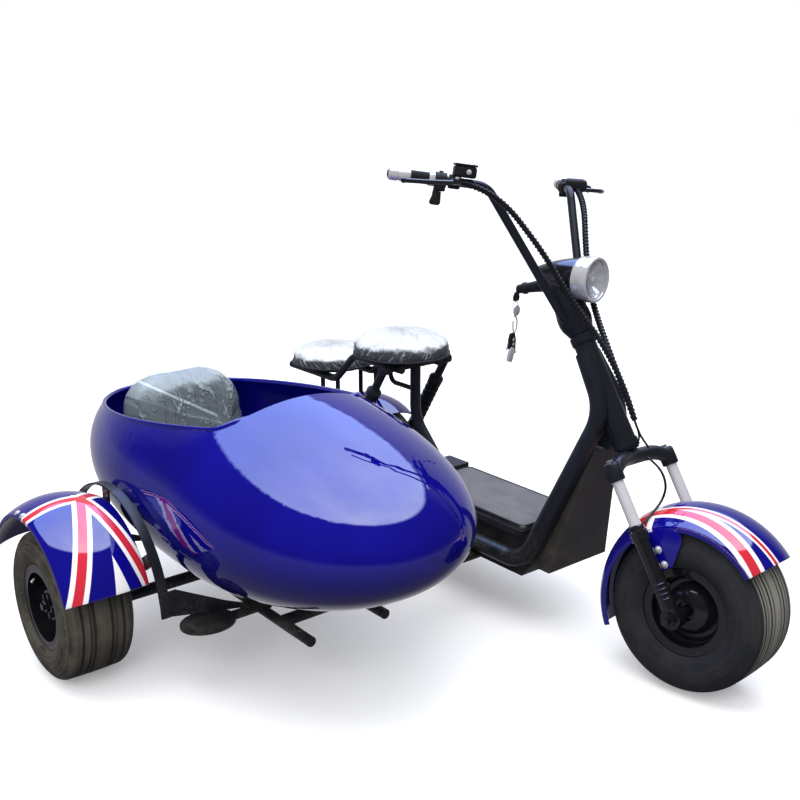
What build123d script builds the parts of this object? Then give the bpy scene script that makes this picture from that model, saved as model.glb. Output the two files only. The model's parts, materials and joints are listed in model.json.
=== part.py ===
from build123d import *
import math
import os

# Wheels and stance, millimetres. X runs forward from the rear axle, Y to the rider's left, Z up.
WHEELBASE = 1420.0
TYRE_R = 212.0
TYRE_HALF = 106.0
SIDE_TYRE_R = 202.0
SIDE_TYRE_HALF = 97.0
SIDE_WHEEL_X = 324.0
SIDE_WHEEL_Y = -1245.0
BEAD_R = 103.0
FLANGE_R = 116.0
RIM_HALF = 84.0
AXLE_R = 10.0

# Steering geometry. The front end stands turned a little to the left at rest.
RAKE = 33.4
FORK_OFFSET = 21.0
STEER_REST = 10.5
REST_LIFT = 5.2
LEG_Y = 142.0
CROWN_S = 398.0
HEAD_LOW_S = 446.0
HEAD_TOP_S = 778.0
HEAD_R = 31.0
STEM_R = 17.0

# Clearances.
RUN_GAP = 0.3
WELD_GAP = 0.2
FACE_GAP = 0.5

# Frame of the scooter.
RAIL_R = 26.0
RAIL_Y = 150.0
RAIL_Z = 203.0
RAIL_END = 300.0
FLOOR_TOP = 290.0
FLOOR_HALF = 118.0
SEAT_RAIL_R = 13.0
SEAT_RAIL_Y = 84.0

# Sidecar body: a pod of elliptical sections on its own centre plane.
POD_Y = -721.0
POD_X = 599.0
POD_Z = 470.5
POD_HALF_WIDTH = 371.5
POD_HALF_HEIGHT = 284.5
POD_FRONT = 595.5
POD_REAR = 907.5
POD_DROOP = 11.0
POD_WALL = 9.0
POD_SEAM_Z = 428.0
SIDE_RAIL_R = 17.0
RUNNER_R = 14.0
SIDE_RAIL_Z = RAIL_Z - RAIL_R - SIDE_RAIL_R - WELD_GAP



def fore(x, y, z):
    """Point of the front end, measured from the front wheel's centre."""
    return (WHEELBASE + x, y, TYRE_R + z)


# Control points of the handlebar, straight ahead: low bend, elbow, grip end.
BAR_R = 12.0
BAR_LOW = fore(-469.0, 42.0, 673.0)
BAR_ELBOW = fore(-664.0, 201.0, 1028.0)
BAR_END = fore(-831.0, 388.0, 1042.0)
LAMP_X, LAMP_Y, LAMP_Z = fore(-420.0, 0.0, 801.0)

# Foot of the down tubes and the front of the rear deck.
FOOT_X = WHEELBASE - 490.0
DECK_X = 400.0

nodes = {}
SIDES = (1.0, -1.0)

front_axle = Vector(WHEELBASE, 0, TYRE_R + REST_LIFT)
rake = math.radians(RAKE)
steer_up = Vector(-math.sin(rake), 0, math.cos(rake))
steer_fore = Vector(math.cos(rake), 0, math.sin(rake))
steer_foot = front_axle - steer_fore * FORK_OFFSET
STEER_AXIS = Axis(steer_foot, steer_up)
steer_place = Plane(origin=steer_foot, x_dir=steer_fore, z_dir=steer_up).location
rear_place = Pos(0, 0, TYRE_R)
front_place = Pos(WHEELBASE, 0, TYRE_R + REST_LIFT)
side_place = Pos(SIDE_WHEEL_X, SIDE_WHEEL_Y, SIDE_TYRE_R)
WHEEL_TURN = Axis((0, 0, 0), (0, -1, 0))


def joined(shapes):
    """One shape from several solids that may or may not touch."""
    whole = shapes[0]
    for shape in shapes[1:]:
        whole = whole + shape
    return whole


def tube(points, radius, corners=()):
    """Round bar along straight runs with a tangent arc at each corner."""
    if len(points) == 2:
        path = Line(*points)
    else:
        path = FilletPolyline(*points, radius=list(corners))
    start = Plane(origin=path @ 0, z_dir=path % 0)
    return sweep(start * Circle(radius), path=path)


def rod(start, end, radius):
    """Straight round bar between two points."""
    return tube((start, end), radius)


def mirrored(point, side):
    """Point on one side of the centre plane."""
    return (point[0], point[1] * side, point[2])


def turned_ring(points):
    """Ring about Y from a closed outline of (radius, y) points."""
    return revolve(make_face(Polyline(*points, close=True)), Axis.Y, 360)


def collar(radius, y_low, y_high, bore=0.0):
    """Cylinder or ring about Y between two stations."""
    outer = Pos(0, (y_low + y_high) / 2, 0) * Rot(90, 0, 0) * Cylinder(radius, y_high - y_low)
    if bore:
        outer = outer - Pos(0, (y_low + y_high) / 2, 0) * Rot(90, 0, 0) * Cylinder(bore, 2 * (y_high - y_low))
    return outer


def hex_nut(across, y_low, y_high):
    """Hexagon about Y between two stations."""
    outline = Plane.XZ.offset(-y_low) * RegularPolygon(across / 2, 6, major_radius=False)
    return extrude(outline, amount=y_high - y_low, dir=(0, 1, 0))


def tyre(radius, half, groove_ys):
    """Fat road tyre about Y with grooves round the tread."""
    shoulder = radius - 13
    belly = BEAD_R + 0.52 * (radius - BEAD_R)
    bead_y = RIM_HALF - 9
    edge = [
        Line((BEAD_R, -bead_y), (BEAD_R, bead_y)),
        ThreePointArc((BEAD_R, bead_y), (belly, half), (shoulder, half - 13)),
        ThreePointArc((shoulder, half - 13), (radius - 4, half - 22), (radius - 1.5, half - 34)),
        ThreePointArc((radius - 1.5, half - 34), (radius, 0), (radius - 1.5, 34 - half)),
        ThreePointArc((radius - 1.5, 34 - half), (radius - 4, 22 - half), (shoulder, 13 - half)),
        ThreePointArc((shoulder, 13 - half), (belly, -half), (BEAD_R, -bead_y)),
    ]
    body = revolve(make_face(Wire(edge)), Axis.Y, 360)
    for y in (bead_y + 50, -bead_y - 50):
        body = body - collar(FLANGE_R + FACE_GAP, y - 49.5, y + 49.5)
    for y in groove_ys:
        body = body - collar(radius + 5, y - 4, y + 4, radius - 7)
    return body


def rim(hub_r, hub_low, hub_high, web_y, web_hub_y):
    """Drop-centre wheel about Y: flanged barrel, dished web and bored hub."""
    seat = BEAD_R - RUN_GAP
    lip = RIM_HALF - 8
    barrel = turned_ring((
        (seat, -lip), (FLANGE_R, -lip), (FLANGE_R, -RIM_HALF), (seat - 9, -RIM_HALF),
        (seat - 9, RIM_HALF), (FLANGE_R, RIM_HALF), (FLANGE_R, lip), (seat, lip)))
    web = turned_ring((
        (seat - 8, web_y - 4), (hub_r - 2, web_hub_y - 4), (hub_r - 2, web_hub_y + 4), (seat - 8, web_y + 4)))
    hub = collar(hub_r, hub_low, hub_high)
    return barrel + web + hub - collar(AXLE_R + RUN_GAP, hub_low - 50, hub_high + 50)


def brake_disc(radius, hub_r, y):
    """Vented disc on a hub flange."""
    disc = collar(radius, y, y + 4, AXLE_R + 10)
    for step in range(5):
        disc = disc - Rot(0, 72 * step, 0) * Pos((radius + hub_r) / 2, y, 0) * Rot(90, 0, 0) * Cylinder(11, 30)
    return disc


def fender(radius, half, drop, wall, start, stop):
    """Crowned mudguard about Y between two angles, measured up from forward."""
    shell = [
        ThreePointArc((radius - drop, -half), (radius, 0), (radius - drop, half)),
        Line((radius - drop, half), (radius - drop - wall, half - 1)),
        ThreePointArc((radius - drop - wall, half - 1), (radius - wall, 0), (radius - drop - wall, 1 - half)),
        Line((radius - drop - wall, 1 - half), (radius - drop, -half)),
    ]
    return revolve(make_face(Wire(shell)), WHEEL_TURN, stop - start).rotate(WHEEL_TURN, start)


# Wheels. The brake discs stand outboard of the hubs on the left.
DISC_R = 86.0
DISC_Y = 92.0
HUB_IN = 70.0
front_grooves = (-54.0, -19.0, 19.0, 54.0)
nodes["front_tyre"] = front_place * tyre(TYRE_R, TYRE_HALF, front_grooves)
nodes["rear_tyre"] = rear_place * tyre(TYRE_R, TYRE_HALF, front_grooves)
nodes["sidecar_tyre"] = side_place * tyre(SIDE_TYRE_R, SIDE_TYRE_HALF, (-34.0, 34.0))
nodes["front_rim"] = front_place * rim(42.0, -HUB_IN, DISC_Y - FACE_GAP, -20.0, -48.0)
nodes["rear_hub_motor"] = rear_place * rim(88.0, -HUB_IN, DISC_Y - FACE_GAP, 0.0, 0.0)
nodes["sidecar_rim"] = side_place * rim(40.0, -62.0, 66.0, -10.0, -40.0)
nodes["front_disc"] = front_place * brake_disc(DISC_R, 34.0, DISC_Y)
nodes["rear_disc"] = rear_place * brake_disc(DISC_R, 34.0, DISC_Y)

# Axles with spacers, nuts and plain ends.
AXLE_END = 190.0
LUG_IN = 124.0
LUG_OUT = 160.0


def through_axle(spacer_r, lug_in):
    """Axle about Y: shaft, spacers beside the hub, nuts and plain ends."""
    shaft = collar(AXLE_R, -AXLE_END, AXLE_END)
    left = collar(spacer_r, DISC_Y + 4 + FACE_GAP, lug_in - FACE_GAP)
    right = collar(spacer_r, FACE_GAP - lug_in, -HUB_IN - FACE_GAP)
    nuts = hex_nut(30, LUG_OUT + FACE_GAP, LUG_OUT + 11) + hex_nut(30, -LUG_OUT - 11, -LUG_OUT - FACE_GAP)
    return shaft + left + right + nuts


ARM_IN = 127.0
SPACER_R = 16.0
nodes["front_axle"] = front_place * through_axle(SPACER_R, LUG_IN)
nodes["rear_axle"] = rear_place * through_axle(SPACER_R, ARM_IN)

# Fork, built in the steering frame: x ahead of the axis, y left, z up along it.
STANCHION_R = 15.5
SLIDER_R = 20.0
SLIDER_TOP = 232.0
sliders = []
stanchions = []
for side in SIDES:
    y = LEG_Y * side
    leg = Pos(FORK_OFFSET, y, SLIDER_TOP / 2 + 10) * Cylinder(SLIDER_R, SLIDER_TOP - 20)
    wiper = Pos(FORK_OFFSET, y, SLIDER_TOP - 13) * Cylinder(SLIDER_R + 4, 26)
    lug = Pos(FORK_OFFSET, (LUG_IN + LUG_OUT) / 2 * side, 0) * Rot(90, 0, 0) * Cylinder(27, LUG_OUT - LUG_IN)
    hole = Pos(FORK_OFFSET, y, 0) * Rot(90, 0, 0) * Cylinder(AXLE_R + WELD_GAP, 80)
    socket = Pos(FORK_OFFSET, y, SLIDER_TOP) * Cylinder(STANCHION_R + WELD_GAP, 60)
    sliders.append(leg + wiper + lug - hole - socket)
    stanchions.append(
        Pos(FORK_OFFSET, y, (SLIDER_TOP - 29 + CROWN_S + 14) / 2)
        * Cylinder(STANCHION_R, CROWN_S + 14 - SLIDER_TOP + 29))
nodes["fork_sliders"] = steer_place * joined(sliders)
nodes["fork_stanchions"] = steer_place * joined(stanchions)

crown_edge = [
    ThreePointArc((-LEG_Y, CROWN_S - 10), (0, CROWN_S + 42), (LEG_Y, CROWN_S - 10)),
    Line((LEG_Y, CROWN_S - 10), (LEG_Y - 26, CROWN_S - 34)),
    ThreePointArc((LEG_Y - 26, CROWN_S - 34), (0, CROWN_S - 2), (26 - LEG_Y, CROWN_S - 34)),
    Line((26 - LEG_Y, CROWN_S - 34), (-LEG_Y, CROWN_S - 10)),
]
crown_face = make_face(Wire(crown_edge))
crown = Pos(-14, 0, 0) * extrude(Plane.YZ * crown_face, amount=58)
for side in SIDES:
    crown = crown + Pos(FORK_OFFSET, LEG_Y * side, CROWN_S - 12) * Cylinder(26, 56)
for side in SIDES:
    crown = crown - Pos(FORK_OFFSET, LEG_Y * side, CROWN_S) * Cylinder(STANCHION_R + WELD_GAP, 29)
    crown = crown - Pos(FORK_OFFSET, LEG_Y * side, CROWN_S - 30) * Cylinder(STANCHION_R + WELD_GAP, 60)
crown = crown - Cylinder(STEM_R + WELD_GAP, 3000)
nodes["fork_crown"] = steer_place * crown

STEM_TOP_S = HEAD_TOP_S + 18 - RUN_GAP
stem = Pos(0, 0, (CROWN_S + 6 + STEM_TOP_S) / 2) * Cylinder(STEM_R, STEM_TOP_S - CROWN_S - 6)
low_race = Pos(0, 0, HEAD_LOW_S - 3) * Cylinder(HEAD_R, 6 - 2 * RUN_GAP)
top_race = Pos(0, 0, HEAD_TOP_S + 9) * Cylinder(HEAD_R - 2, 18 - 2 * RUN_GAP)
nodes["steering_stem"] = steer_place * (stem + low_race + top_race)

head = Pos(0, 0, (HEAD_LOW_S + HEAD_TOP_S) / 2) * Cylinder(HEAD_R, HEAD_TOP_S - HEAD_LOW_S)
for station in (HEAD_LOW_S + 11, HEAD_TOP_S - 11):
    head = head + Pos(0, 0, station) * Cylinder(HEAD_R + 4, 22)
head = steer_place * (head - Cylinder(STEM_R + RUN_GAP, 3000))
nodes["head_tube"] = head
head_space = steer_place * Pos(0, 0, (HEAD_LOW_S + HEAD_TOP_S) / 2) * Cylinder(
    HEAD_R + WELD_GAP, HEAD_TOP_S - HEAD_LOW_S + 200)

# Main tubes: from the neck they spread downward, then run back under the floor.
RAIL_POINTS = (
    fore(-420.0, 14.0, 600.0), fore(-325.0, 34.0, 460.0), (FOOT_X, RAIL_Y, RAIL_Z), (RAIL_END, RAIL_Y, RAIL_Z))
RAIL_BENDS = (130.0, 95.0)


def rail_pair(radius):
    """Both main tubes."""
    return joined([tube([mirrored(p, side) for p in RAIL_POINTS], radius, RAIL_BENDS) for side in SIDES])


nodes["frame_rails"] = rail_pair(RAIL_R) - head_space
rail_space = rail_pair(RAIL_R + WELD_GAP)

NECK_X, NECK_Y, NECK_Z = fore(-320.0, 0.0, 348.0)
gusset_edge = Polyline(
    (NECK_X, NECK_Z + 50), (NECK_X - 38, NECK_Z + 108), (NECK_X - 48, NECK_Z + 40), (NECK_X - 60, NECK_Z),
    (NECK_X - 2, NECK_Z), close=True)
gusset = Pos(0, 7, 0) * extrude(Plane.XZ * make_face(gusset_edge), amount=14)
nodes["neck_gusset"] = gusset - head_space - rail_space

# Battery case under the floor, footboard and mat.
CASE_HALF = RAIL_Y - RAIL_R - FACE_GAP
CASE_LOW = RAIL_Z - 61.0
CASE_TOP = FLOOR_TOP - 28.0
CASE_FRONT = FOOT_X - 34.0
case_edge = Polyline(
    (DECK_X + 160, CASE_LOW), (CASE_FRONT, CASE_LOW), (CASE_FRONT + 30, CASE_LOW + 36), (CASE_FRONT, CASE_TOP),
    (DECK_X + 160, CASE_TOP), close=True)
case = Pos(0, CASE_HALF, 0) * extrude(Plane.XZ * make_face(case_edge), amount=2 * CASE_HALF)
nodes["battery_case"] = case - rail_space
floor_long = FOOT_X - 35 - DECK_X
floor_x = DECK_X + floor_long / 2
nodes["footboard"] = Pos(floor_x, 0, CASE_TOP + 10) * Box(floor_long, 2 * FLOOR_HALF + 20, 20)
mat = Pos(floor_x, 0, FLOOR_TOP - 5) * Box(floor_long - 10, 2 * FLOOR_HALF, 6)
for step in range(9):
    mat = mat + Pos(floor_x, -96 + 24 * step, FLOOR_TOP) * Box(floor_long - 24, 12, 4)
nodes["foot_mat"] = mat
MAT_TOP = FLOOR_TOP + 2.0

# Leg shield: a tapered box that fills the space ahead of the down tubes.
SHIELD_LOW = CASE_LOW + 44.0
shield_low = Plane.XY.offset(SHIELD_LOW) * Pos(FOOT_X + 15, 0, 0) * Rectangle(110, 240)
shield_top = Plane.XY.offset(NECK_Z - 4) * Pos(NECK_X - 43, 0, 0) * Rectangle(54, 100)
shield = loft(Sketch() + [shield_low, shield_top])
nodes["leg_shield"] = shield - head_space - rail_space - Pos(FACE_GAP, 0, 0) * case

# Rear deck behind the floor, over the motor controller.
BOX_REAR = 262.0
DECK_TOP = FLOOR_TOP + 10.0
box_edge = Polyline(
    (DECK_X + 160 - FACE_GAP, CASE_LOW), (DECK_X + 160 - FACE_GAP, CASE_TOP), (DECK_X - 5, CASE_TOP),
    (DECK_X - 5, DECK_TOP), (BOX_REAR + 38, DECK_TOP), (BOX_REAR, DECK_TOP - 30), (BOX_REAR, CASE_LOW),
    close=True)
nodes["seat_box"] = Pos(0, CASE_HALF, 0) * extrude(Plane.XZ * make_face(box_edge), amount=2 * CASE_HALF)

# Rear mudguard, also as a filled body that the stays are trimmed against.
REAR_FENDER = (TYRE_R + 50.0, TYRE_HALF - 2.0, 30.0)
rear_fender = rear_place * fender(*REAR_FENDER, 4.0, 58.0, 170.0)
rear_fender_space = rear_place * fender(REAR_FENDER[0] + WELD_GAP, *REAR_FENDER[1:], 60.0, 58.0, 170.0)
nodes["rear_fender"] = rear_fender

# Seat frame: one bent post, rails that step down to the passenger, cross bars and mudguard stays.
PAD_Z = 650.0
REAR_PAD_Z = 545.0
RAIL_DROP = 17.0
SHOCK_X = 262.0
SHOCK_Y = 133.0
CROSS_R = 11.0
POST_R = 17.5
POST_BEND_Z = 452.0
STRUT_Z = PAD_Z - 102.0
STRUT_X = 130.0
post_way = ((SHOCK_X, 0, PAD_Z - RAIL_DROP), (SHOCK_X, 0, POST_BEND_Z), (DECK_X + 50, 0, CASE_TOP))
post_solid = tube(post_way, POST_R, (120.0,))
below_mat = Pos(DECK_X, 0, MAT_TOP + WELD_GAP - 100) * Box(400, 300, 200)
web_edge = Polyline(
    (BOX_REAR + 41, DECK_TOP + WELD_GAP), (BOX_REAR - 26, 402), (SHOCK_X + 6, POST_BEND_Z - 12),
    (SHOCK_X + 80, 386),
    (DECK_X - 7, DECK_TOP + WELD_GAP), close=True)
web = Pos(0, 3, 0) * extrude(Plane.XZ * make_face(web_edge), amount=6)
below_deck = Pos(DECK_X - 105 + FACE_GAP, 0, DECK_TOP + WELD_GAP - 100) * Box(200, 300, 200)
frame_bits = [post_solid - below_mat - below_deck, web]
frame_bits.append(tube((
    (SHOCK_X, 0, STRUT_Z), (STRUT_X, 0, STRUT_Z), (STRUT_X, 0, PAD_Z - RAIL_DROP)), 8.0, (30.0,)))
SEAT_RAIL_Z = PAD_Z - RAIL_DROP
REAR_RAIL_Z = REAR_PAD_Z - RAIL_DROP
frame_bits.append(rod((STRUT_X, -SEAT_RAIL_Y, SEAT_RAIL_Z), (STRUT_X, SEAT_RAIL_Y, SEAT_RAIL_Z), CROSS_R))
for side in SIDES:
    y = SEAT_RAIL_Y * side
    frame_bits.append(tube((
        (SHOCK_X + 34, y, PAD_Z - RAIL_DROP), (40, y, PAD_Z - RAIL_DROP),
        (-70, y, REAR_PAD_Z - RAIL_DROP), (-345, y, REAR_PAD_Z - RAIL_DROP)), SEAT_RAIL_R, (70.0, 70.0)))
    for x in (-60.0, -150.0):
        stay_low = TYRE_R + REAR_FENDER[0] - 79
        frame_bits.append(rod((x, y, stay_low), (x, y, REAR_PAD_Z - RAIL_DROP), 8.0) - rear_fender_space)
frame_bits.append(rod((SHOCK_X, -150, PAD_Z - RAIL_DROP), (SHOCK_X, 150, PAD_Z - RAIL_DROP), CROSS_R))
frame_bits.append(rod((-330, -SEAT_RAIL_Y, REAR_RAIL_Z), (-330, SEAT_RAIL_Y, REAR_RAIL_Z), CROSS_R))
nodes["seat_frame"] = joined(frame_bits)
PAN = 5.0
nodes["seat_pans"] = (
    Pos(190, 0, PAD_Z - RAIL_DROP + SEAT_RAIL_R + WELD_GAP + PAN / 2) * Cylinder(118, PAN)
    + Pos(-200, 0, REAR_PAD_Z - RAIL_DROP + SEAT_RAIL_R + WELD_GAP + PAN / 2) * Cylinder(118, PAN))


def seat_pad(radius, height, place):
    """Round cushion with a soft crown."""
    edge = [
        Line((0, 0), (radius - 12, 0)),
        ThreePointArc((radius - 12, 0), (radius, 22), (radius - 14, height - 16)),
        ThreePointArc((radius - 14, height - 16), (radius / 2, height - 3), (24, height)),
        Line((24, height), (0, height)),
        Line((0, height), (0, 0)),
    ]
    return place * revolve(make_face(Plane.XZ * Wire(edge)), Axis.Z, 360)


nodes["driver_seat"] = seat_pad(164.0, 76.0, Pos(190, 0, PAD_Z + 1.4))
nodes["passenger_seat"] = seat_pad(152.0, 68.0, Pos(-200, 0, REAR_PAD_Z + 1.4))

# Rear suspension: arms beside the seat box, spring legs up to the seat frame's cross bar.
arms = []
shocks = []
ARM_TOP = TYRE_R + 34.0
SHOCK_LOW_X = 30.0
SPRING_TURNS = 9


def spring_leg(length):
    """Coil-over leg along Z from the lower eye, as one turned body."""
    low = 0.26 * length
    pitch = 0.50 * length / SPRING_TURNS
    outline = [(0, 0), (9, 0), (9, low - 12), (25, low - 12), (25, low)]
    for turn in range(SPRING_TURNS):
        z = low + pitch * turn
        outline += [(17, z + 0.1 * pitch), (24, z + 0.3 * pitch), (24, z + 0.7 * pitch), (17, z + 0.9 * pitch)]
    top = low + pitch * SPRING_TURNS
    outline += [(25, top), (25, top + 14), (14, top + 26), (14, length), (0, length)]
    return revolve(make_face(Plane.XZ * Polyline(*outline, close=True)), Axis.Z, 360)


for side in SIDES:
    arm_edge = Polyline(
        (292, TYRE_R + 4), (292, TYRE_R + 46), (70, ARM_TOP), (-10, ARM_TOP), (-36, TYRE_R + 20),
        (-36, TYRE_R - 20),
        (0, TYRE_R - 32), (60, TYRE_R - 26), close=True)
    arm = extrude(Plane.XZ * make_face(arm_edge), amount=LUG_OUT - ARM_IN)
    arm = Pos(0, LUG_OUT if side > 0 else -ARM_IN, 0) * arm
    arms.append(arm - rear_place * collar(AXLE_R + WELD_GAP, -300, 300))
    low = Vector(SHOCK_LOW_X, (SHOCK_Y + 9) * side, ARM_TOP + 16.3)
    high = Vector(SHOCK_X, SHOCK_Y * side, PAD_Z - RAIL_DROP)
    way = high - low
    shock = Plane(origin=low, z_dir=way).location * spring_leg(way.length)
    shock = shock + Pos(*low) * collar(16, -13, 13)
    shock = shock + Pos(*high) * collar(16, -14, 14)
    shocks.append(shock - Pos(*high) * collar(CROSS_R + WELD_GAP, -60, 60))
nodes["swingarm"] = joined(arms)
nodes["rear_shocks"] = joined(shocks)
lamp = Pos(3 - REAR_FENDER[0], 0, 90) * Box(48, 84, 46)
nodes["tail_lamp"] = rear_place * lamp - rear_fender_space

# Sidecar pod: sections shrink from the widest one by a power of their place along the length.
WIDTH_POWER = (2.65, 2.54)
HEIGHT_POWER = (2.98, 1.25)
STATIONS = (-0.998, -0.985, -0.94, -0.84, -0.64, -0.34, 0.0, 0.30, 0.56, 0.77, 0.91, 0.975, 0.997)


def pod(inset):
    """Solid pod, smaller on every side by the inset."""
    sections = []
    for place in STATIONS:
        end = 1 if place > 0 else 0
        reach = (POD_FRONT if place > 0 else POD_REAR) - inset
        wide = (POD_HALF_WIDTH - inset) * math.sqrt(1 - abs(place) ** WIDTH_POWER[end])
        high = (POD_HALF_HEIGHT - inset) * math.sqrt(1 - abs(place) ** HEIGHT_POWER[end])
        middle = POD_Z - (POD_DROOP * place ** 2 if place > 0 else 0)
        plane = Plane(origin=(POD_X + place * reach, POD_Y, middle), x_dir=(0, 1, 0), z_dir=(1, 0, 0))
        sections.append(plane * Ellipse(wide, high))
    return loft(Sketch() + sections)


cockpit_edge = [
    ThreePointArc((-420, 562), (150, 622), (604, 686)),
    ThreePointArc((604, 686), (646, 706), (664, 780)),
    Line((664, 780), (664, 900)),
    Line((664, 900), (-420, 900)),
    Line((-420, 900), (-420, 562)),
]
cockpit = Pos(0, POD_Y + 500, 0) * extrude(Plane.XZ * make_face(Wire(cockpit_edge)), amount=1000)
shell = pod(0.0) - pod(POD_WALL) - cockpit
lower_block = Pos(POD_X, POD_Y, POD_SEAM_Z - 500) * Box(3000, 2000, 1000)
nodes["sidecar_tub"] = shell & lower_block
nodes["sidecar_hood"] = shell - Pos(0, 0, WELD_GAP) * lower_block

# Sidecar chassis: cross tubes from the scooter, runners under the pod, the plate that holds the axle.
side_bits = []
RUNNER_OFF = 120.0
RUNNER_ENDS = (20.0, 860.0)
CROSS_X = (SIDE_WHEEL_X, 720.0)
CROSS_END = (-1112.0, POD_Y - RUNNER_OFF)
PLATE_Y = (-1118.0, -1104.0)
for side in SIDES:
    y = POD_Y + RUNNER_OFF * side
    side_bits.append(rod((RUNNER_ENDS[0], y, SIDE_RAIL_Z), (RUNNER_ENDS[1], y, SIDE_RAIL_Z), RUNNER_R))
for x, end in zip(CROSS_X, CROSS_END):
    side_bits.append(rod((x, -132, SIDE_RAIL_Z), (x, end, SIDE_RAIL_Z), SIDE_RAIL_R))
plate = Pos(SIDE_WHEEL_X, sum(PLATE_Y) / 2, 190) * Box(90, PLATE_Y[1] - PLATE_Y[0], 100)
side_bits.append(plate)
side_frame = joined(side_bits) - side_place * collar(AXLE_R + WELD_GAP, -300, 300)
nodes["sidecar_frame"] = side_frame

pads = []
for x in (420.0, 560.0):
    for side in SIDES:
        pads.append(Pos(x, POD_Y + RUNNER_OFF * side, 200) * Cylinder(20, 90))
pad_trim = [rod((x_low, POD_Y + RUNNER_OFF * side, SIDE_RAIL_Z), (x_high, POD_Y + RUNNER_OFF * side, SIDE_RAIL_Z),
                RUNNER_R + WELD_GAP) for x_low, x_high in (RUNNER_ENDS,) for side in SIDES]
pads = joined(pads) - pod(-WELD_GAP) - joined(pad_trim)
pads = pads - Pos(480, POD_Y, SIDE_RAIL_Z - 500) * Box(2000, 2000, 1000)
nodes["pod_mounts"] = pads

HUB_FACE = SIDE_WHEEL_Y + 66.0
stub = collar(AXLE_R, SIDE_WHEEL_Y - 84, PLATE_Y[1] + 14)
stub = stub + collar(16, HUB_FACE + FACE_GAP, PLATE_Y[0] - FACE_GAP)
stub = stub + hex_nut(30, SIDE_WHEEL_Y - 76, SIDE_WHEEL_Y - 62 - FACE_GAP)
stub = stub + hex_nut(30, PLATE_Y[1] + FACE_GAP, PLATE_Y[1] + 11)
nodes["sidecar_axle"] = Pos(SIDE_WHEEL_X, 0, SIDE_TYRE_R) * stub

# Mudguard of the sidecar wheel, hung by tongues from an arched strap with two plates down to the runner.
SIDE_FENDER = (SIDE_TYRE_R + 86.0, SIDE_TYRE_HALF + 15.0, 30.0)
nodes["sidecar_fender"] = side_place * fender(*SIDE_FENDER, 4.0, 22.0, 158.0)
fender_space = side_place * fender(
    SIDE_FENDER[0] + WELD_GAP, SIDE_FENDER[1] + WELD_GAP, SIDE_FENDER[2], 4.4, 20.0, 160.0)
STRAP_R = SIDE_FENDER[0] - 4.0
STRAP_Y = (SIDE_FENDER[1] + 5.0, SIDE_FENDER[1] + 31.0)
STRAP_T = 5.0
strap_face = make_face(Polyline(
    (STRAP_R, STRAP_Y[0]), (STRAP_R + STRAP_T, STRAP_Y[0]), (STRAP_R + STRAP_T, STRAP_Y[1]),
    (STRAP_R, STRAP_Y[1]),
    close=True))
strap = revolve(strap_face, WHEEL_TURN, 172).rotate(WHEEL_TURN, 4)
TONGUE_R = SIDE_FENDER[0] - SIDE_FENDER[2] - 12.0
for angle in (34.0, 90.0, 146.0):
    flat = Pos(TONGUE_R + 5, SIDE_FENDER[1] - 6, 0) * Box(10, 28, 34)
    riser = Pos((TONGUE_R + STRAP_R + 2) / 2, STRAP_Y[0] + 1, 0) * Box(STRAP_R + 2 - TONGUE_R, 6, 34)
    strap = strap + (flat + riser).rotate(WHEEL_TURN, angle)
strap = side_place * strap - fender_space
PLATE_END = POD_Y - RUNNER_OFF - RUNNER_R - WELD_GAP
plate_y = SIDE_WHEEL_Y + STRAP_Y[0]
foot_edge = Polyline(
    (plate_y, SIDE_TYRE_R + 14), (plate_y + 28, SIDE_TYRE_R + 14), (PLATE_END - 46, SIDE_RAIL_Z + 18),
    (PLATE_END, SIDE_RAIL_Z - 13), (PLATE_END, SIDE_RAIL_Z + 13), (PLATE_END - 84, SIDE_RAIL_Z + 50),
    (plate_y + 44, SIDE_TYRE_R + 84), (plate_y, SIDE_TYRE_R + 84), close=True)
for end in SIDES:
    foot_x = SIDE_WHEEL_X + (STRAP_R + 2) * end
    strap = strap + Pos(foot_x - 3, 0, 0) * extrude(Plane.YZ * make_face(foot_edge), amount=6)
nodes["fender_arch"] = strap

# Step beside the pod.
STEP_Z = SIDE_RAIL_Z + RUNNER_R
step_bar = Pos(638, -895, STEP_Z + WELD_GAP + 3) * Box(40, 130, 6)
step_plate = Pos(635, -1010, STEP_Z + WELD_GAP + 3) * extrude(Ellipse(62, 76), amount=7)
nodes["step_plate"] = step_bar + step_plate

# Soft furniture of the sidecar.
hollow = pod(POD_WALL + FACE_GAP)
CUSHION_TOP = 388.0
cushion = (Pos(150, POD_Y, CUSHION_TOP - 50) * Box(560, 520, 100)) & hollow
nodes["sidecar_cushion"] = cushion
BACK_TOP = 694.0
BACK_HALF = 190.0
back_edge = Polyline(
    (120, CUSHION_TOP + WELD_GAP), (30, BACK_TOP - 24), (0, BACK_TOP), (-40, BACK_TOP), (-70, BACK_TOP - 16),
    (-30, CUSHION_TOP + WELD_GAP), close=True)
back = Pos(0, POD_Y + BACK_HALF, 0) * extrude(Plane.XZ * make_face(back_edge), amount=2 * BACK_HALF)
back_face = Pos(POD_Y, BACK_TOP - 300) * RectangleRounded(2 * BACK_HALF, 600, 120)
nodes["sidecar_backrest"] = back & Pos(-300, 0, 0) * extrude(Plane.YZ * back_face, amount=800)

# Front mudguard with its fork tabs.
FRONT_FENDER = (TYRE_R + 58.0, TYRE_HALF + 8.0, 42.0)
guard = front_place * fender(*FRONT_FENDER, 4.0, 42.0, 206.0)
for side in SIDES:
    tab = steer_place * Pos(FORK_OFFSET + 21, (FRONT_FENDER[1] + 1.5) * side, 178) * Box(88, 5, 110)
    guard = guard + (tab & front_place * collar(FRONT_FENDER[0] - FRONT_FENDER[2] + 1, -200, 200))
    for s in (150.0, 190.0):
        bolt_head = Pos(FORK_OFFSET, (FRONT_FENDER[1] + 5.5) * side, s) * Rot(90, 0, 0) * Cylinder(9, 4.4)
        guard = guard + steer_place * bolt_head
nodes["front_fender"] = guard

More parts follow.
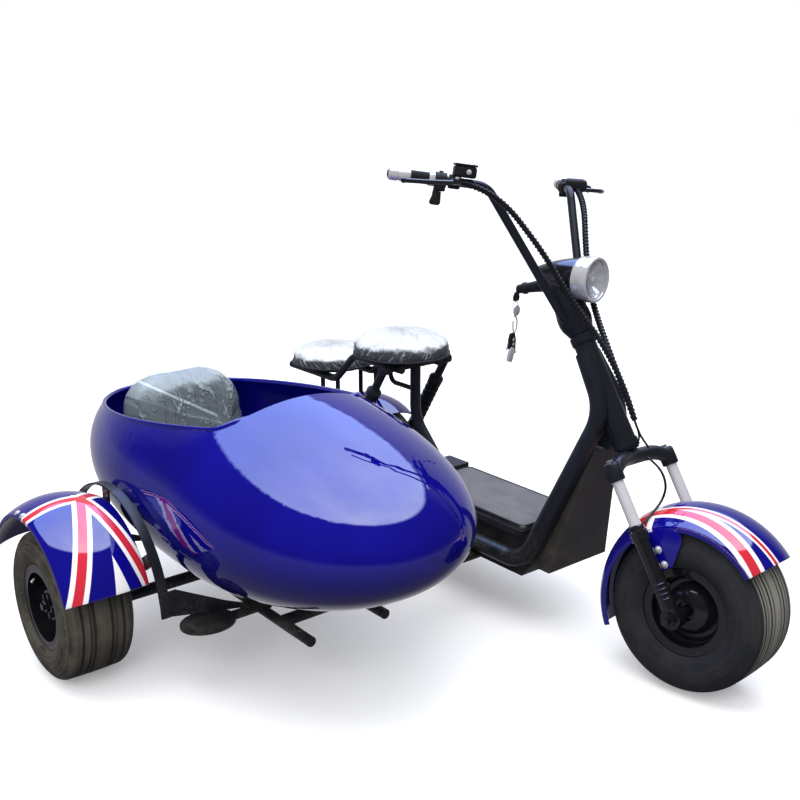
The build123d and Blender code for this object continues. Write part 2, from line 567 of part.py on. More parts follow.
# Brake calipers outboard of the discs.
def caliper():
    """Caliper about Y on the left, with the plate that fits over the axle spacer."""
    block = Pos(-76, 108, 14) * Box(44, 14, 66)
    bridge = Pos(-97, 106, 14) * Box(8, 18, 50)
    carrier = Pos(-34, 117.5, 12) * Box(112, 8, 44)
    body = block + bridge + carrier
    return body - collar(SPACER_R + WELD_GAP, 60, 160)


nodes["front_caliper"] = front_place * Rot(0, 20, 0) * caliper()
nodes["rear_caliper"] = Pos(0, 3, 0) * rear_place * Rot(0, 40, 0) * caliper()

# Handlebar: one bent tube through a clamp on the stem.
bar_points = [mirrored(BAR_END, 1), mirrored(BAR_ELBOW, 1), mirrored(BAR_LOW, 1)]
bar_points += [mirrored(BAR_LOW, -1), mirrored(BAR_ELBOW, -1), mirrored(BAR_END, -1)]
BAR_BENDS = (60.0, 50.0, 50.0, 60.0)
nodes["handlebar"] = tube(bar_points, BAR_R, BAR_BENDS)
bar_space = tube(bar_points, BAR_R + WELD_GAP, BAR_BENDS)
CLAMP_LOW = STEM_TOP_S + WELD_GAP
clamp = steer_place * Pos(-2, 0, CLAMP_LOW + 20) * Box(56, 70, 40)
nodes["bar_clamp"] = clamp - bar_space - steer_place * Cylinder(STEM_R + WELD_GAP, 2 * STEM_TOP_S)

# Controls, built along the left grip and mirrored.
bar_end = Vector(*BAR_END)
grip_out = (bar_end - Vector(*BAR_ELBOW)).normalized()
grip_fore = Vector(-grip_out.X, grip_out.Y, 0).cross(Vector(0, 0, 1)).normalized()
grip_fore = Vector(grip_out.Y, -grip_out.X, 0).normalized()
grip_place = Plane(origin=bar_end, x_dir=grip_fore, z_dir=grip_out).location
bore = Pos(0, 0, -150) * Cylinder(BAR_R + WELD_GAP, 400)


def pair(shape):
    """Left control and its mirror image."""
    left = grip_place * shape
    return left + mirror(left, about=Plane.XZ)


GRIP = 112.0
grip = Pos(0, 0, -GRIP / 2) * Cylinder(16.5, GRIP)
for ring in range(6):
    grip = grip + Pos(0, 0, -12 - 17 * ring) * Cylinder(18, 8)
nodes["grips"] = pair(grip - bore)
nodes["bar_ends"] = pair(Pos(0, 0, 9) * Cylinder(17, 17.6))
switch = Pos(0, 5, -GRIP - 17) * Box(40, 48, 32)
nodes["switch_blocks"] = pair(fillet(switch.edges().filter_by(Axis.Z), 9) - bore)
perch = Pos(0, 0, -GRIP - 50) * Cylinder(19, 30) + Pos(26, 0, -GRIP - 50) * Box(44, 20, 28)
perch = perch + Pos(14, -28, -GRIP - 60) * Box(46, 30, 40)
perch = perch + Pos(14, -46, -GRIP - 60) * Box(50, 8, 44)
nodes["brake_perches"] = pair(perch - bore)
lever = tube(((54.6, 0, -GRIP - 56), (66, 0, -GRIP - 10), (60, 4, -20)), 6.0, (40.0,))
lever = lever + Pos(60, 4, -20) * Sphere(8)
nodes["brake_levers"] = pair(lever)

# Headlamp: shell, ring and lens on a post above the clamp.
lamp_place = Plane(origin=(LAMP_X, 0, LAMP_Z), x_dir=(0, 1, 0), z_dir=(1, 0, 0)).location
BULB = 196.0
shell_edge = [
    Line((0, -BULB), (14, -BULB)),
    ThreePointArc((14, -BULB), (45, -0.56 * BULB), (58, -22)),
    Line((58, -22), (52, -22)),
    Line((52, -22), (22, -60)),
    Line((22, -60), (0, -60)),
    Line((0, -60), (0, -BULB)),
]
lamp_shell = lamp_place * revolve(make_face(Plane.XZ * Wire(shell_edge)), Axis.Z, 360)
nodes["headlamp_shell"] = lamp_shell
ring_edge = Polyline((52, -21.7), (61, -21.7), (63, -14), (63, 0), (57, 5), (52, 2), close=True)
nodes["headlamp_ring"] = lamp_place * revolve(make_face(Plane.XZ * ring_edge), Axis.Z, 360)
lens_edge = [
    Line((0, -3), (51.5, -3)),
    Line((51.5, -3), (51.5, 0)),
    ThreePointArc((51.5, 0), (28, 5.5), (8, 7)),
    Line((8, 7), (0, 7)),
    Line((0, 7), (0, -3)),
]
nodes["headlamp_lens"] = lamp_place * revolve(make_face(Plane.XZ * Wire(lens_edge)), Axis.Z, 360)

STALK_R = 10.0
post_low = CLAMP_LOW + 40 + WELD_GAP
post = steer_place * Pos(0, 0, post_low + 55) * Cylinder(STALK_R, 110)
bulb_space = lamp_place * revolve(
    make_face(Plane.XZ * Wire([
        Line((0, -BULB - 0.4), (14.3, -BULB - 0.4)),
        ThreePointArc((14.3, -BULB - 0.4), (45.4, -0.56 * BULB - 0.2), (58.4, -22)),
        Line((58.4, -22), (0, -22)),
        Line((0, -22), (0, -BULB - 0.4))])), Axis.Z, 360)
nodes["lamp_post"] = post - bulb_space
lock_tail = Vector(*fore(-674.0, 0, 743.0))
lock_root = Vector(*fore(-560.0, 0, 772.0))
lock_way = lock_root - lock_tail
lock_edge = Polyline(
    (0, 0), (10, 0), (13, 4), (13, 22), (17, 22), (17, 30), (14, 34), (20, lock_way.length),
    (0, lock_way.length), close=True)
lock_place = Plane(origin=lock_tail, z_dir=lock_way).location
lock = lock_place * revolve(make_face(Plane.XZ * lock_edge), Axis.Z, 360)
nodes["dash_pod"] = lock - bulb_space - steer_place * Cylinder(STALK_R + WELD_GAP, 3000)
KEY_DROP = 205.0
key_x = lock_tail.X - 3
key_top = lock_tail.Z - 14
keys = Pos(key_x + 4, 0, key_top + 14) * Rot(0, 90, 0) * Cylinder(3, 7)
keys = keys + Pos(key_x, 0, key_top + 2) * Box(4, 12, 26)
keys = keys + Pos(key_x, 0, key_top - 24) * Rot(0, 90, 0) * Cylinder(16, 4)
keys = keys + Pos(key_x, 6, key_top - 70) * Box(9, 20, 66)
keys = keys + Pos(key_x, 0, key_top - 122) * Box(14, 30, 50)
keys = keys + Pos(key_x, -6, (key_top - 140 + lock_tail.Z - 14 - KEY_DROP) / 2) * Box(12, 24, KEY_DROP - 140)
nodes["key_set"] = keys - lock_place * Pos(0, 0, 50 - WELD_GAP) * Cylinder(60, 100)

# Cable looms from the controls down in front of the head tube.
def steer_point(x, y, s):
    """Point given in the steering frame."""
    return steer_foot + steer_fore * x + Vector(0, y, 0) + steer_up * s


LOOM_R = 8.0
LOOM_BEND = 60.0
loom_root = (grip_place * Pos(30, 0, -GRIP - 65 - WELD_GAP)).position
loom_ways = (
    ((loom_root.X, -loom_root.Y, loom_root.Z), fore(-626, -214, 1020), fore(-515, -132, 873),
     steer_point(52, -76, 900), steer_point(118, -64, 640), steer_point(98, -60, 474)),
    ((loom_root.X, loom_root.Y, loom_root.Z), fore(-612, 200, 1006), fore(-540, 122, 873),
     steer_point(50, 66, 880), steer_point(110, -45, 650), steer_point(94, -41, 474)),
)
nodes["cable_looms"] = joined([tube(way, LOOM_R, [LOOM_BEND] * 4) for way in loom_ways])

STEERED = (
    "front_tyre", "front_rim", "front_disc", "front_axle", "fork_sliders", "fork_stanchions", "fork_crown",
    "steering_stem", "front_fender", "front_caliper", "handlebar", "bar_clamp", "grips", "bar_ends",
    "switch_blocks", "brake_perches", "brake_levers", "headlamp_shell", "headlamp_ring", "headlamp_lens",
    "lamp_post", "dash_pod", "key_set", "cable_looms")
for name in STEERED:
    nodes[name] = nodes[name].rotate(STEER_AXIS, STEER_REST)

# Origin under the middle of the bounding box, then one file for each node.
bounds = Compound(children=[Compound(shape.solids()) for shape in nodes.values()]).bounding_box()
origin = Vector(bounds.center().X, bounds.center().Y, bounds.min.Z)
print("origin", [round(v, 3) for v in origin], "size", [round(v, 1) for v in bounds.size])
os.makedirs("parts", exist_ok=True)
for name, shape in nodes.items():
    placed = Pos(-origin.X, -origin.Y, -origin.Z) * Compound(shape.solids())
    export_step(placed, "parts/" + name + ".step")
    print(name, round(shape.volume / 1000), "cm3", len(shape.solids()))
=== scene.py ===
"""Looks of an electric tricycle: a fat-tyred scooter with a blue sidecar, dressed around its CAD frame."""

import json
import logging
import math
from dataclasses import dataclass, field
from enum import Enum
from typing import Callable, Optional, Sequence, Union

import bmesh
import bpy
from mathutils import Matrix, Vector, noise


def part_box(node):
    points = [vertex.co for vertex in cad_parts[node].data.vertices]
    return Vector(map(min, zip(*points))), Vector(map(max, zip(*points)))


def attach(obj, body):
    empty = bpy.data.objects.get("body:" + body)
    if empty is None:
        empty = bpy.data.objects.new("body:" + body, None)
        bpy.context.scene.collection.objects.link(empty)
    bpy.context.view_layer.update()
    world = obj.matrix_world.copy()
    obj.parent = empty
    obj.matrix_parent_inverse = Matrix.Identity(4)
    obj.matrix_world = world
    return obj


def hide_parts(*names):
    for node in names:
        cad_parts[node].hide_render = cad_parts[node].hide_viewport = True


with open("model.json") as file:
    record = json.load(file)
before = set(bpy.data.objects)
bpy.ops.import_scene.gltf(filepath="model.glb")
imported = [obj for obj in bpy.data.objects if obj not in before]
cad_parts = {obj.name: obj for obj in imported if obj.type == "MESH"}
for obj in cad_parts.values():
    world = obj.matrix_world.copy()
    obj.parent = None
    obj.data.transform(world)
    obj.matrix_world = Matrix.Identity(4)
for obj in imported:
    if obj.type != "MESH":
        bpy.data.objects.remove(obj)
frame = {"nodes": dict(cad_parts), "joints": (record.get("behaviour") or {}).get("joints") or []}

LOG = logging.getLogger("electric_tricycle")
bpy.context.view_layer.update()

Number = Union[int, float]
Pair = tuple[float, float]
Triple = tuple[float, float, float]
Colour = tuple[float, float, float]


class Body(Enum):
    """CAD bodies that a piece can ride on."""

    CHASSIS = "chassis"
    STEERING = "steering"
    FRONT_WHEEL = "front_wheel"
    SIDECAR_WHEEL = "sidecar_wheel"


def axes_matrix(x_axis: Vector, y_axis: Vector, z_axis: Vector, origin: Vector) -> Matrix:
    """Matrix whose columns are three axes and an origin."""
    matrix = Matrix((x_axis, y_axis, z_axis)).transposed().to_4x4()
    matrix.translation = origin
    return matrix


def facing_ahead(origin: Vector) -> Matrix:
    """Frame whose z points ahead, its x to the left and its y up."""
    return axes_matrix(Vector((0, 1, 0)), Vector((0, 0, 1)), Vector((1, 0, 0)), origin)


def on_edge(origin: Vector) -> Matrix:
    """Frame whose y stands along z and whose z points against y."""
    return axes_matrix(Vector((1, 0, 0)), Vector((0, 0, 1)), Vector((0, -1, 0)), origin)


def shift(x: float, y: float, z: float) -> Matrix:
    """Move by three lengths."""
    return Matrix.Translation((x, y, z))


@dataclass(frozen=True)
class Layout:
    """Places of the vehicle in the row frame, in metres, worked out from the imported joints.

    The design frame has its origin on the ground under the rear axle, x forward and y to the rider's left.
    """

    wheelbase: float = 1.420
    tyre_radius: float = 0.212
    side_tyre_radius: float = 0.202
    rest_turn: float = math.radians(10.5)

    def joint(self, name: str) -> dict:
        """Packed joint of that name."""
        return next(joint for joint in frame["joints"] if joint["name"] == name)

    @property
    def ground(self) -> Vector:
        """Row-frame point on the ground under the rear axle."""
        axle = Vector(self.joint("rear_wheel_spin")["pos_m"])
        return Vector((axle.x, axle.y, axle.z - self.tyre_radius))

    def at(self, x: float, y: float, z: float) -> Vector:
        """Row-frame place of a design point in metres."""
        return self.ground + Vector((x, y, z))

    @property
    def steer_matrix(self) -> Matrix:
        """Frame of the steering as it stands at rest: z up along its axis, y to the left, x ahead of it.

        Returns:
            Matrix whose origin is the foot of the perpendicular from the front axle.
        """
        turn = self.joint("steering_turn")
        up = Vector(turn["axis"]).normalized()
        foot = Vector(turn["pos_m"])
        axle = Vector(self.joint("front_wheel_spin")["pos_m"])
        foot = foot + up * (axle - foot).dot(up)
        ahead = (axle - foot).normalized()
        left = up.cross(ahead)
        return axes_matrix(ahead, left, up, foot)

    @property
    def turn_matrix(self) -> Matrix:
        """Turn that carries a design point of the straight-ahead front end to its place at rest."""
        turn = self.joint("steering_turn")
        place = Matrix.Translation(Vector(turn["pos_m"]))
        spin = Matrix.Rotation(self.rest_turn, 4, Vector(turn["axis"]))
        return place @ spin @ place.inverted() @ Matrix.Translation(self.ground)

    def wheel_matrix(self, joint: str) -> Matrix:
        """Frame of a wheel: y along its axle, z up.

        Args:
            joint: Name of the wheel's joint.

        Returns:
            Matrix with the wheel's centre as its origin.
        """
        spin = self.joint(joint)
        axis = Vector(spin["axis"]).normalized()
        ahead = axis.cross(Vector((0, 0, 1))).normalized()
        up = ahead.cross(axis)
        place = Vector(spin["pos_m"])
        return axes_matrix(ahead, axis, up, place)


LAYOUT = Layout()


@dataclass
class Signal:
    """A value of a shader, with arithmetic that adds Math nodes."""

    graph: "Graph"
    socket: bpy.types.NodeSocket

    def math(self, operation: str, *others: "Signal | Number", clamp: bool = False) -> "Signal":
        """Adds a Math node with this value first.

        Args:
            operation: Name of the Math node's operation.
            others: Its further inputs.
            clamp: Whether the result is held between 0 and 1.

        Returns:
            The node's result.
        """
        values = {index: value for index, value in enumerate((self, *others))}
        return self.graph.node("ShaderNodeMath", {"operation": operation, "use_clamp": clamp}, values)

    def __add__(self, other: "Signal | Number") -> "Signal":
        """Sum."""
        return self.math("ADD", other)

    __radd__ = __add__

    def __sub__(self, other: "Signal | Number") -> "Signal":
        """Difference."""
        return self.math("SUBTRACT", other)

    def __rsub__(self, other: Number) -> "Signal":
        """Difference from a number."""
        return self.math("MULTIPLY", -1.0).math("ADD", other)

    def __mul__(self, other: "Signal | Number") -> "Signal":
        """Product."""
        return self.math("MULTIPLY", other)

    __rmul__ = __mul__

    def __abs__(self) -> "Signal":
        """Distance from zero."""
        return self.math("ABSOLUTE")

    def clamped(self) -> "Signal":
        """The value held between 0 and 1."""
        return self.math("ADD", 0.0, clamp=True)

    def most(self, other: "Signal | Number") -> "Signal":
        """The larger of two values."""
        return self.math("MAXIMUM", other)

    def step(self, low: float, high: float) -> "Signal":
        """Smooth rise from 0 at one value to 1 at another.

        Args:
            low: Value that gives 0.
            high: Value that gives 1.

        Returns:
            The rise, which falls instead where low is above high.
        """
        flip = low > high
        first, last = (high, low) if flip else (low, high)
        ends = {"To Min": 1.0, "To Max": 0.0} if flip else {"To Min": 0.0, "To Max": 1.0}
        return self.graph.node(
            "ShaderNodeMapRange", {"interpolation_type": "SMOOTHSTEP"},
            {"Value": self, "From Min": first, "From Max": last, **ends})

    def band(self, centre: float, half: float, soft: float) -> "Signal":
        """One inside a band of values and 0 outside it."""
        return abs(self - centre).step(half + soft, half - soft)


Value = Union[Signal, Number, Sequence[float]]


class Graph:
    """Node tree of one material, or of the world."""

    def __init__(self, name: str, world: bool = False) -> None:
        """Starts an empty material or world of that name."""
        self.owner = (bpy.data.worlds if world else bpy.data.materials).new(name)
        self.owner.use_nodes = True
        self.tree = self.owner.node_tree
        self.tree.nodes.clear()
        self.end = "ShaderNodeOutputWorld" if world else "ShaderNodeOutputMaterial"
        self._object: Optional[Signal] = None

    def node(self, kind: str, settings: Optional[dict] = None, values: Optional[dict] = None,
             output: Union[int, str] = 0) -> Signal:
        """Adds a node.

        Args:
            kind: Type of the node.
            settings: Its properties, set before its sockets; "stops" gives a ramp's stops.
            values: Numbers, colours or signals by socket name or index.
            output: Socket to return.

        Returns:
            That output.
        """
        made = self.tree.nodes.new(kind)
        for name, value in (settings or {}).items():
            if name == "stops":
                self.set_stops(made, value)
            else:
                setattr(made, name, value)
        for name, value in (values or {}).items():
            if isinstance(value, Signal):
                self.tree.links.new(value.socket, made.inputs[name])
            else:
                made.inputs[name].default_value = value
        return Signal(self, made.outputs[output])

    @staticmethod
    def set_stops(ramp: bpy.types.Node, stops: Sequence[tuple[float, Colour]]) -> None:
        """Gives a colour ramp its stops."""
        elements = ramp.color_ramp.elements
        while len(elements) < len(stops):
            elements.new(0.5)
        for element, (place, colour) in zip(elements, stops):
            element.position = place
            element.color = (*colour, 1.0)

    @property
    def place(self) -> Signal:
        """Object coordinates, which are row-frame places in metres."""
        if self._object is None:
            self._object = self.node("ShaderNodeTexCoord", output="Object")
        return self._object

    def uv(self) -> tuple[Signal, Signal]:
        """Both values of the piece's UV map."""
        pair = self.node("ShaderNodeTexCoord", output="UV")
        return self.split(pair)[:2]

    def split(self, vector: Signal) -> tuple[Signal, Signal, Signal]:
        """Three values of a vector."""
        parts = self.node("ShaderNodeSeparateXYZ", values={0: vector}).socket.node
        return tuple(Signal(self, socket) for socket in parts.outputs)

    def about(self, centre: Sequence[float]) -> Signal:
        """Object coordinates measured from a centre."""
        return self.node("ShaderNodeVectorMath", {"operation": "SUBTRACT"}, {0: self.place, 1: tuple(centre)})

    def dot(self, vector: Signal, axis: Sequence[float]) -> Signal:
        """Share of a vector along an axis."""
        return self.node("ShaderNodeVectorMath", {"operation": "DOT_PRODUCT"}, {0: vector, 1: tuple(axis)},
                         "Value")

    def noise(self, scale: float, detail: float = 2.0, rough: float = 0.5,
              vector: Optional[Signal] = None) -> Signal:
        """Cloudy noise about 0.5."""
        return self.node(
            "ShaderNodeTexNoise", values={"Vector": vector or self.place, "Scale": scale, "Detail": detail,
                                          "Roughness": rough})

    def pores(self, scale: float) -> Signal:
        """Distance from the edges of scattered cells."""
        return self.node(
            "ShaderNodeTexVoronoi", {"feature": "DISTANCE_TO_EDGE"}, {"Vector": self.place, "Scale": scale})

    def mix(self, share: Value, first: Value, second: Value) -> Signal:
        """Blend of two colours."""
        def full(colour: Value) -> Value:
            """The colour with its fourth value."""
            return colour if isinstance(colour, Signal) else (*colour[:3], 1.0)
        return self.node(
            "ShaderNodeMix", {"data_type": "RGBA"}, {"Factor": share, 6: full(first), 7: full(second)},
            output=2)

    def bump(self, height: Signal, distance: float, strength: float = 1.0,
             normal: Optional[Signal] = None) -> Signal:
        """Normal of a raised pattern.

        Args:
            height: Height, 0 to 1.
            distance: Height of 1 in metres.
            strength: Share of the effect.
            normal: Normal that it adds to.

        Returns:
            The bumped normal.
        """
        values = {"Height": height, "Distance": distance, "Strength": strength}
        if normal is not None:
            values["Normal"] = normal
        return self.node("ShaderNodeBump", values=values, output="Normal")

    def surface(self, **values: Value) -> Signal:
        """Principled shader with socket values by name, underscores for spaces."""
        named = {name.replace("_", " "): value for name, value in values.items()}
        if "Base Color" in named and not isinstance(named["Base Color"], Signal):
            named["Base Color"] = (*named["Base Color"][:3], 1.0)
        return self.node("ShaderNodeBsdfPrincipled", values=named)

    def done(self, shader: Signal) -> Union[bpy.types.Material, bpy.types.World]:
        """Material or world that shows that shader."""
        end = self.tree.nodes.new(self.end)
        self.tree.links.new(shader.socket, end.inputs["Surface"])
        return self.owner


DUST: Colour = (0.30, 0.26, 0.20)


def shaded(colour: Colour, share: float) -> Colour:
    """A colour made darker or lighter."""
    return tuple(value * share for value in colour)


class Finish:
    """A surface that pieces are dressed in; each kind makes its own material once."""

    name: str
    _made: dict = {}

    def build(self) -> bpy.types.Material:
        """Makes the material."""
        raise NotImplementedError

    def material(self) -> bpy.types.Material:
        """The finish's material, made on first use."""
        if self.name not in Finish._made:
            Finish._made[self.name] = self.build()
        return Finish._made[self.name]


@dataclass(frozen=True)
class Coating(Finish):
    """Paint, plating or moulded plastic: a little uneven, with a fine skin and dust near the ground."""

    name: str
    colour: Colour
    rough: float = 0.4
    metal: float = 0.0
    coat: float = 0.0
    grain: float = 0.0
    grain_scale: float = 500.0
    uneven: float = 0.10
    dust: float = 0.35
    shade: float = 0.75
    shine: float = 0.3

    def build(self) -> bpy.types.Material:
        """Makes the material."""
        graph = Graph(self.name)
        cloud = graph.noise(11.0, 4.0, 0.6)
        fine = graph.noise(170.0, 3.0)
        low = graph.split(graph.place)[2].step(0.38, 0.03)
        dust = low * (cloud * fine).step(0.16, 0.42) * self.dust
        colour = graph.mix(cloud.step(0.3, 0.7), shaded(self.colour, self.shade), self.colour)
        rough = (fine - 0.5) * self.uneven + (cloud - 0.5) * self.uneven + dust * 0.5 + self.rough
        values = {"Base_Color": graph.mix(dust, colour, DUST), "Roughness": rough.clamped(),
                  "Metallic": self.metal, "Specular_IOR_Level": self.shine, "Coat_Weight": self.coat,
                  "Coat_Roughness": 0.05}
        if self.grain:
            skin = graph.noise(self.grain_scale, 2.0)
            values["Normal"] = graph.bump(skin, self.grain)
        return graph.done(graph.surface(**values))


@dataclass(frozen=True)
class Glaze(Finish):
    """Clear or tinted see-through plastic or glass."""

    name: str
    colour: Colour
    alpha: float
    rough: float = 0.05
    ribs: float = 0.0
    rib_pitch: float = 0.009

    def build(self) -> bpy.types.Material:
        """Makes the material."""
        graph = Graph(self.name)
        cloud = graph.noise(60.0, 2.0)
        values = {"Base_Color": graph.mix(cloud, self.colour, shaded(self.colour, 0.9)),
                  "Roughness": self.rough, "IOR": 1.45, "Alpha": (cloud - 0.5) * 0.06 + self.alpha,
                  "Coat_Weight": 0.6, "Coat_Roughness": 0.03}
        if self.ribs:
            rows = graph.split(graph.place)[1]
            wave = (rows * (math.tau / self.rib_pitch)).math("SINE")
            values["Normal"] = graph.bump(wave, self.ribs)
        return graph.done(graph.surface(**values))


@dataclass(frozen=True)
class Hide(Finish):
    """Grained black seat leather with creases."""

    name: str
    colour: Colour = (0.016, 0.016, 0.018)
    grain: float = 420.0

    def build(self) -> bpy.types.Material:
        """Makes the material."""
        graph = Graph(self.name)
        pores = graph.pores(self.grain).step(0.0, 0.35)
        crease = graph.noise(26.0, 5.0, 0.65).step(0.42, 0.60)
        cloud = graph.noise(7.0, 3.0)
        colour = graph.mix(pores * 0.5 + cloud * 0.5, shaded(self.colour, 0.6), shaded(self.colour, 1.5))
        rough = 0.52 - pores * 0.10 + cloud * 0.10
        skin = graph.bump(crease, 0.0012, 0.5)
        return graph.done(graph.surface(
            Base_Color=colour, Roughness=rough, Normal=graph.bump(pores, 0.0003, 0.7, skin)))


@dataclass(frozen=True)
class Wrap(Finish):
    """Thin clear film: whitish where it faces up, which is a painted sky sheen over a little milky haze, and
    streaked with painted highlights along its folds where it hangs down.

    An upright film also has one long painted highlight line along a ridge, given by its height and its place
    across from the centre.
    """

    name: str
    centre: Triple
    slant: float = 3.0
    painted_sheen: float = 0.55
    haze: float = 0.05
    upright: bool = False
    tint: Colour = (0.74, 0.79, 0.85)
    ridge_highlight: Pair = (0.0, 0.0)
    ridge_fall: float = 0.60

    def build(self) -> bpy.types.Material:
        """Makes the material."""
        graph = Graph(self.name)
        x, y, z = graph.split(graph.about(LAYOUT.at(*self.centre)))
        cloud = graph.noise(9.0, 4.0, 0.6)
        if self.upright:
            lines = {0: y * 5.0 + z * 1.6 + cloud * 0.5, 1: z * 1.4 - y * 0.5, 2: x * 1.4}
        else:
            lines = {0: y.math("ARCTAN2", x) * 2.3 + z * self.slant + cloud * 0.8, 1: z * 2.6, 2: x * 1.2}
        fan = graph.node("ShaderNodeCombineXYZ", values=lines)
        long_folds = abs(graph.noise(2.1, 3.0, 0.5, fan) - 0.5).step(0.024, 0.0)
        short_folds = abs(graph.noise(5.2, 3.0, 0.55, fan) - 0.5).step(0.024, 0.0)
        # Painted sky sheen: the film's white alpha grows where its normal faces up, with a little milky cloud
        # in it.
        facing = graph.split(graph.node("ShaderNodeNewGeometry", output="Normal"))[2]
        flat = facing.step(0.38, 0.80)
        crumple = abs(graph.noise(34.0, 4.0, 0.65) - 0.5).step(0.07, 0.0)
        painted_sheen = flat * (0.72 + cloud.step(0.30, 0.60) * 0.24 + crumple * 0.04) * self.painted_sheen
        # Painted highlights: white alpha along the fold lines where the film hangs down.
        painted_fold_glints = long_folds * 0.70 + short_folds * 0.46
        streak = painted_fold_glints * (0.32 + cloud.step(0.35, 0.62) * 0.60) * (1 - flat * 0.85)
        # Painted highlight: a bright line along the backrest film's ridge, with the fold highlights made
        # dimmer below it.
        if self.upright:
            beside = y - self.ridge_highlight[1]
            above = z - self.ridge_highlight[0] + beside * self.ridge_fall
            ridge_highlight = abs(above).step(0.007, 0.001) * abs(beside).step(0.125, 0.090)
            streak = streak * (0.45 + above.step(-0.020, 0.020) * 0.55) + ridge_highlight * 0.55
        height = (long_folds + short_folds * 0.5) * (1 - flat * 0.8) + crumple * flat * 0.12
        return graph.done(graph.surface(
            Base_Color=self.tint, Roughness=0.22, Alpha=(painted_sheen + streak + self.haze).clamped(), IOR=1.45,
            Specular_IOR_Level=0.3, Coat_Weight=0.5, Coat_Roughness=0.08, Normal=graph.bump(height, 0.006)))


@dataclass(frozen=True)
class TyreRubber(Finish):
    """Tyre rubber about an axle: dark sidewalls, pale rubbed ribs between grooves, and dust or dried mud."""

    name: str
    wheel: str
    radius: float
    side: Colour
    tread: Colour
    mud: Colour
    soil: float
    shoulder: float = 0.078
    grooves: tuple[float, ...] = (0.019, 0.0365, 0.054, 0.068)
    groove_half: float = 0.0036
    ring_pitch: float = 0.0105

    def build(self) -> bpy.types.Material:
        """Makes the material."""
        graph = Graph(self.name)
        spin = LAYOUT.joint(self.wheel)
        offset = graph.about(spin["pos_m"])
        across = graph.dot(offset, spin["axis"])
        reach = graph.node("ShaderNodeVectorMath", {"operation": "LENGTH"}, {0: offset}, "Value")
        out = (reach * reach - across * across).math("SQRT")
        aside = abs(across)
        crown = aside.step(self.shoulder + 0.003, self.shoulder - 0.003) * out.step(self.radius - 0.045,
                                                                                    self.radius - 0.035)
        groove, *further = (aside.band(place, self.groove_half, 0.0012) for place in self.grooves)
        for band in further:
            groove = groove.most(band)
        groove = groove * crown
        cloud = graph.noise(14.0, 5.0, 0.65)
        fine = graph.noise(240.0, 3.0, 0.7)
        hoops = graph.node("ShaderNodeCombineXYZ", values={0: across, 1: out, 2: cloud * 0.02})
        streak = graph.noise(85.0, 4.0, 0.6, hoops)
        specks = cloud.step(0.36, 0.66) * 0.45 + streak.step(0.40, 0.66) * 0.35 + fine.step(0.4, 0.75) * 0.20
        soil = specks * self.soil
        rubber = graph.mix(crown * (0.55 + streak * 0.45) * (1 - groove), self.side, self.tread)
        colour = graph.mix((soil * (1 - groove * 0.8)).clamped(), rubber, self.mud)
        rings = (out * (math.tau / self.ring_pitch)).math("SINE") * (1 - crown)
        skin = graph.bump(fine * 0.6 + rings * 0.12, 0.0006)
        return graph.done(graph.surface(
            Base_Color=colour, Roughness=(0.58 + crown * 0.18 + soil * 0.2 - streak * 0.08).clamped(),
            Specular_IOR_Level=0.25, Normal=graph.bump(1 - groove, 0.003, 0.8, skin)))


@dataclass(frozen=True)
class Gloss(Finish):
    """Deep glossy lacquer with a faint pearl cloud."""

    name: str
    colour: Colour = (0.004, 0.003, 0.21)
    deep: Colour = (0.003, 0.002, 0.165)

    def build(self) -> bpy.types.Material:
        """Makes the material."""
        graph = Graph(self.name)
        return graph.done(self.shader(graph, self.pearl(graph)))

    def pearl(self, graph: Graph) -> Signal:
        """The clouded colour of the lacquer."""
        return graph.mix(graph.noise(5.0, 3.0).step(0.3, 0.7), self.deep, self.colour)

    def shader(self, graph: Graph, colour: Signal) -> Signal:
        """Lacquer over a colour, dusty near the ground.

        Args:
            graph: Material to add it to.
            colour: Colour under the lacquer.

        Returns:
            The shader.
        """
        fine = graph.noise(150.0, 3.0)
        low = graph.split(graph.place)[2].step(0.30, 0.05) * fine.step(0.45, 0.8) * 0.25
        peel = graph.noise(95.0, 2.0)
        return graph.surface(
            Base_Color=graph.mix(low, colour, DUST), Roughness=(0.30 + low * 0.4 + fine * 0.04),
            Specular_IOR_Level=0.0, Coat_Weight=1.0, Coat_Roughness=0.02, Coat_IOR=1.9,
            Normal=graph.bump(peel, 0.00006))


@dataclass(frozen=True)
class Ray:
    """One band that runs out from the crossing.

    The direction is in metres ahead and to the left; the halves are half the width of its red and its white.
    """

    ahead: float
    left: float
    red_half: float = 0.0115
    white_half: float = 0.0235


@dataclass(frozen=True)
class BandedGloss(Gloss):
    """Lacquer with white-edged red bands that run out from a crossing on a mudguard.

    The UV map gives metres: along the guard from the crossing, and across it from its middle. The offset is
    the crossing's place across; the wedge is a white field by its tip, its middle and its spread.
    """

    red: Colour = (0.56, 0.024, 0.042)
    white: Colour = (0.82, 0.80, 0.82)
    offset: float = 0.0
    rays: tuple[Ray, ...] = ()
    wedge: Optional[Triple] = None
    soft: float = 0.0006

    def build(self) -> bpy.types.Material:
        """Makes the material."""
        graph = Graph(self.name)
        along, across = graph.uv()
        across = across - self.offset
        soft = self.soft
        white = red = None
        for ray in self.rays:
            length = math.hypot(ray.ahead, ray.left)
            off = abs(along * (ray.left / length) - across * (ray.ahead / length))
            behind = along * (-ray.ahead / length) - across * (ray.left / length)
            distance = off.most(behind)
            pale = distance.step(ray.white_half + soft, ray.white_half - soft)
            core = distance.step(ray.red_half + soft, ray.red_half - soft)
            white = pale if white is None else white.most(pale)
            red = core if red is None else red.most(core)
        if self.wedge is not None:
            tip, middle, spread = self.wedge
            white = white.most(((along - tip) * spread - abs(across - middle)).step(-soft, soft))
        colour = graph.mix(red, graph.mix(white, self.pearl(graph), self.white), self.red)
        return graph.done(self.shader(graph, colour))


WIDE_GROOVES: Pair = (0.024, 0.055)


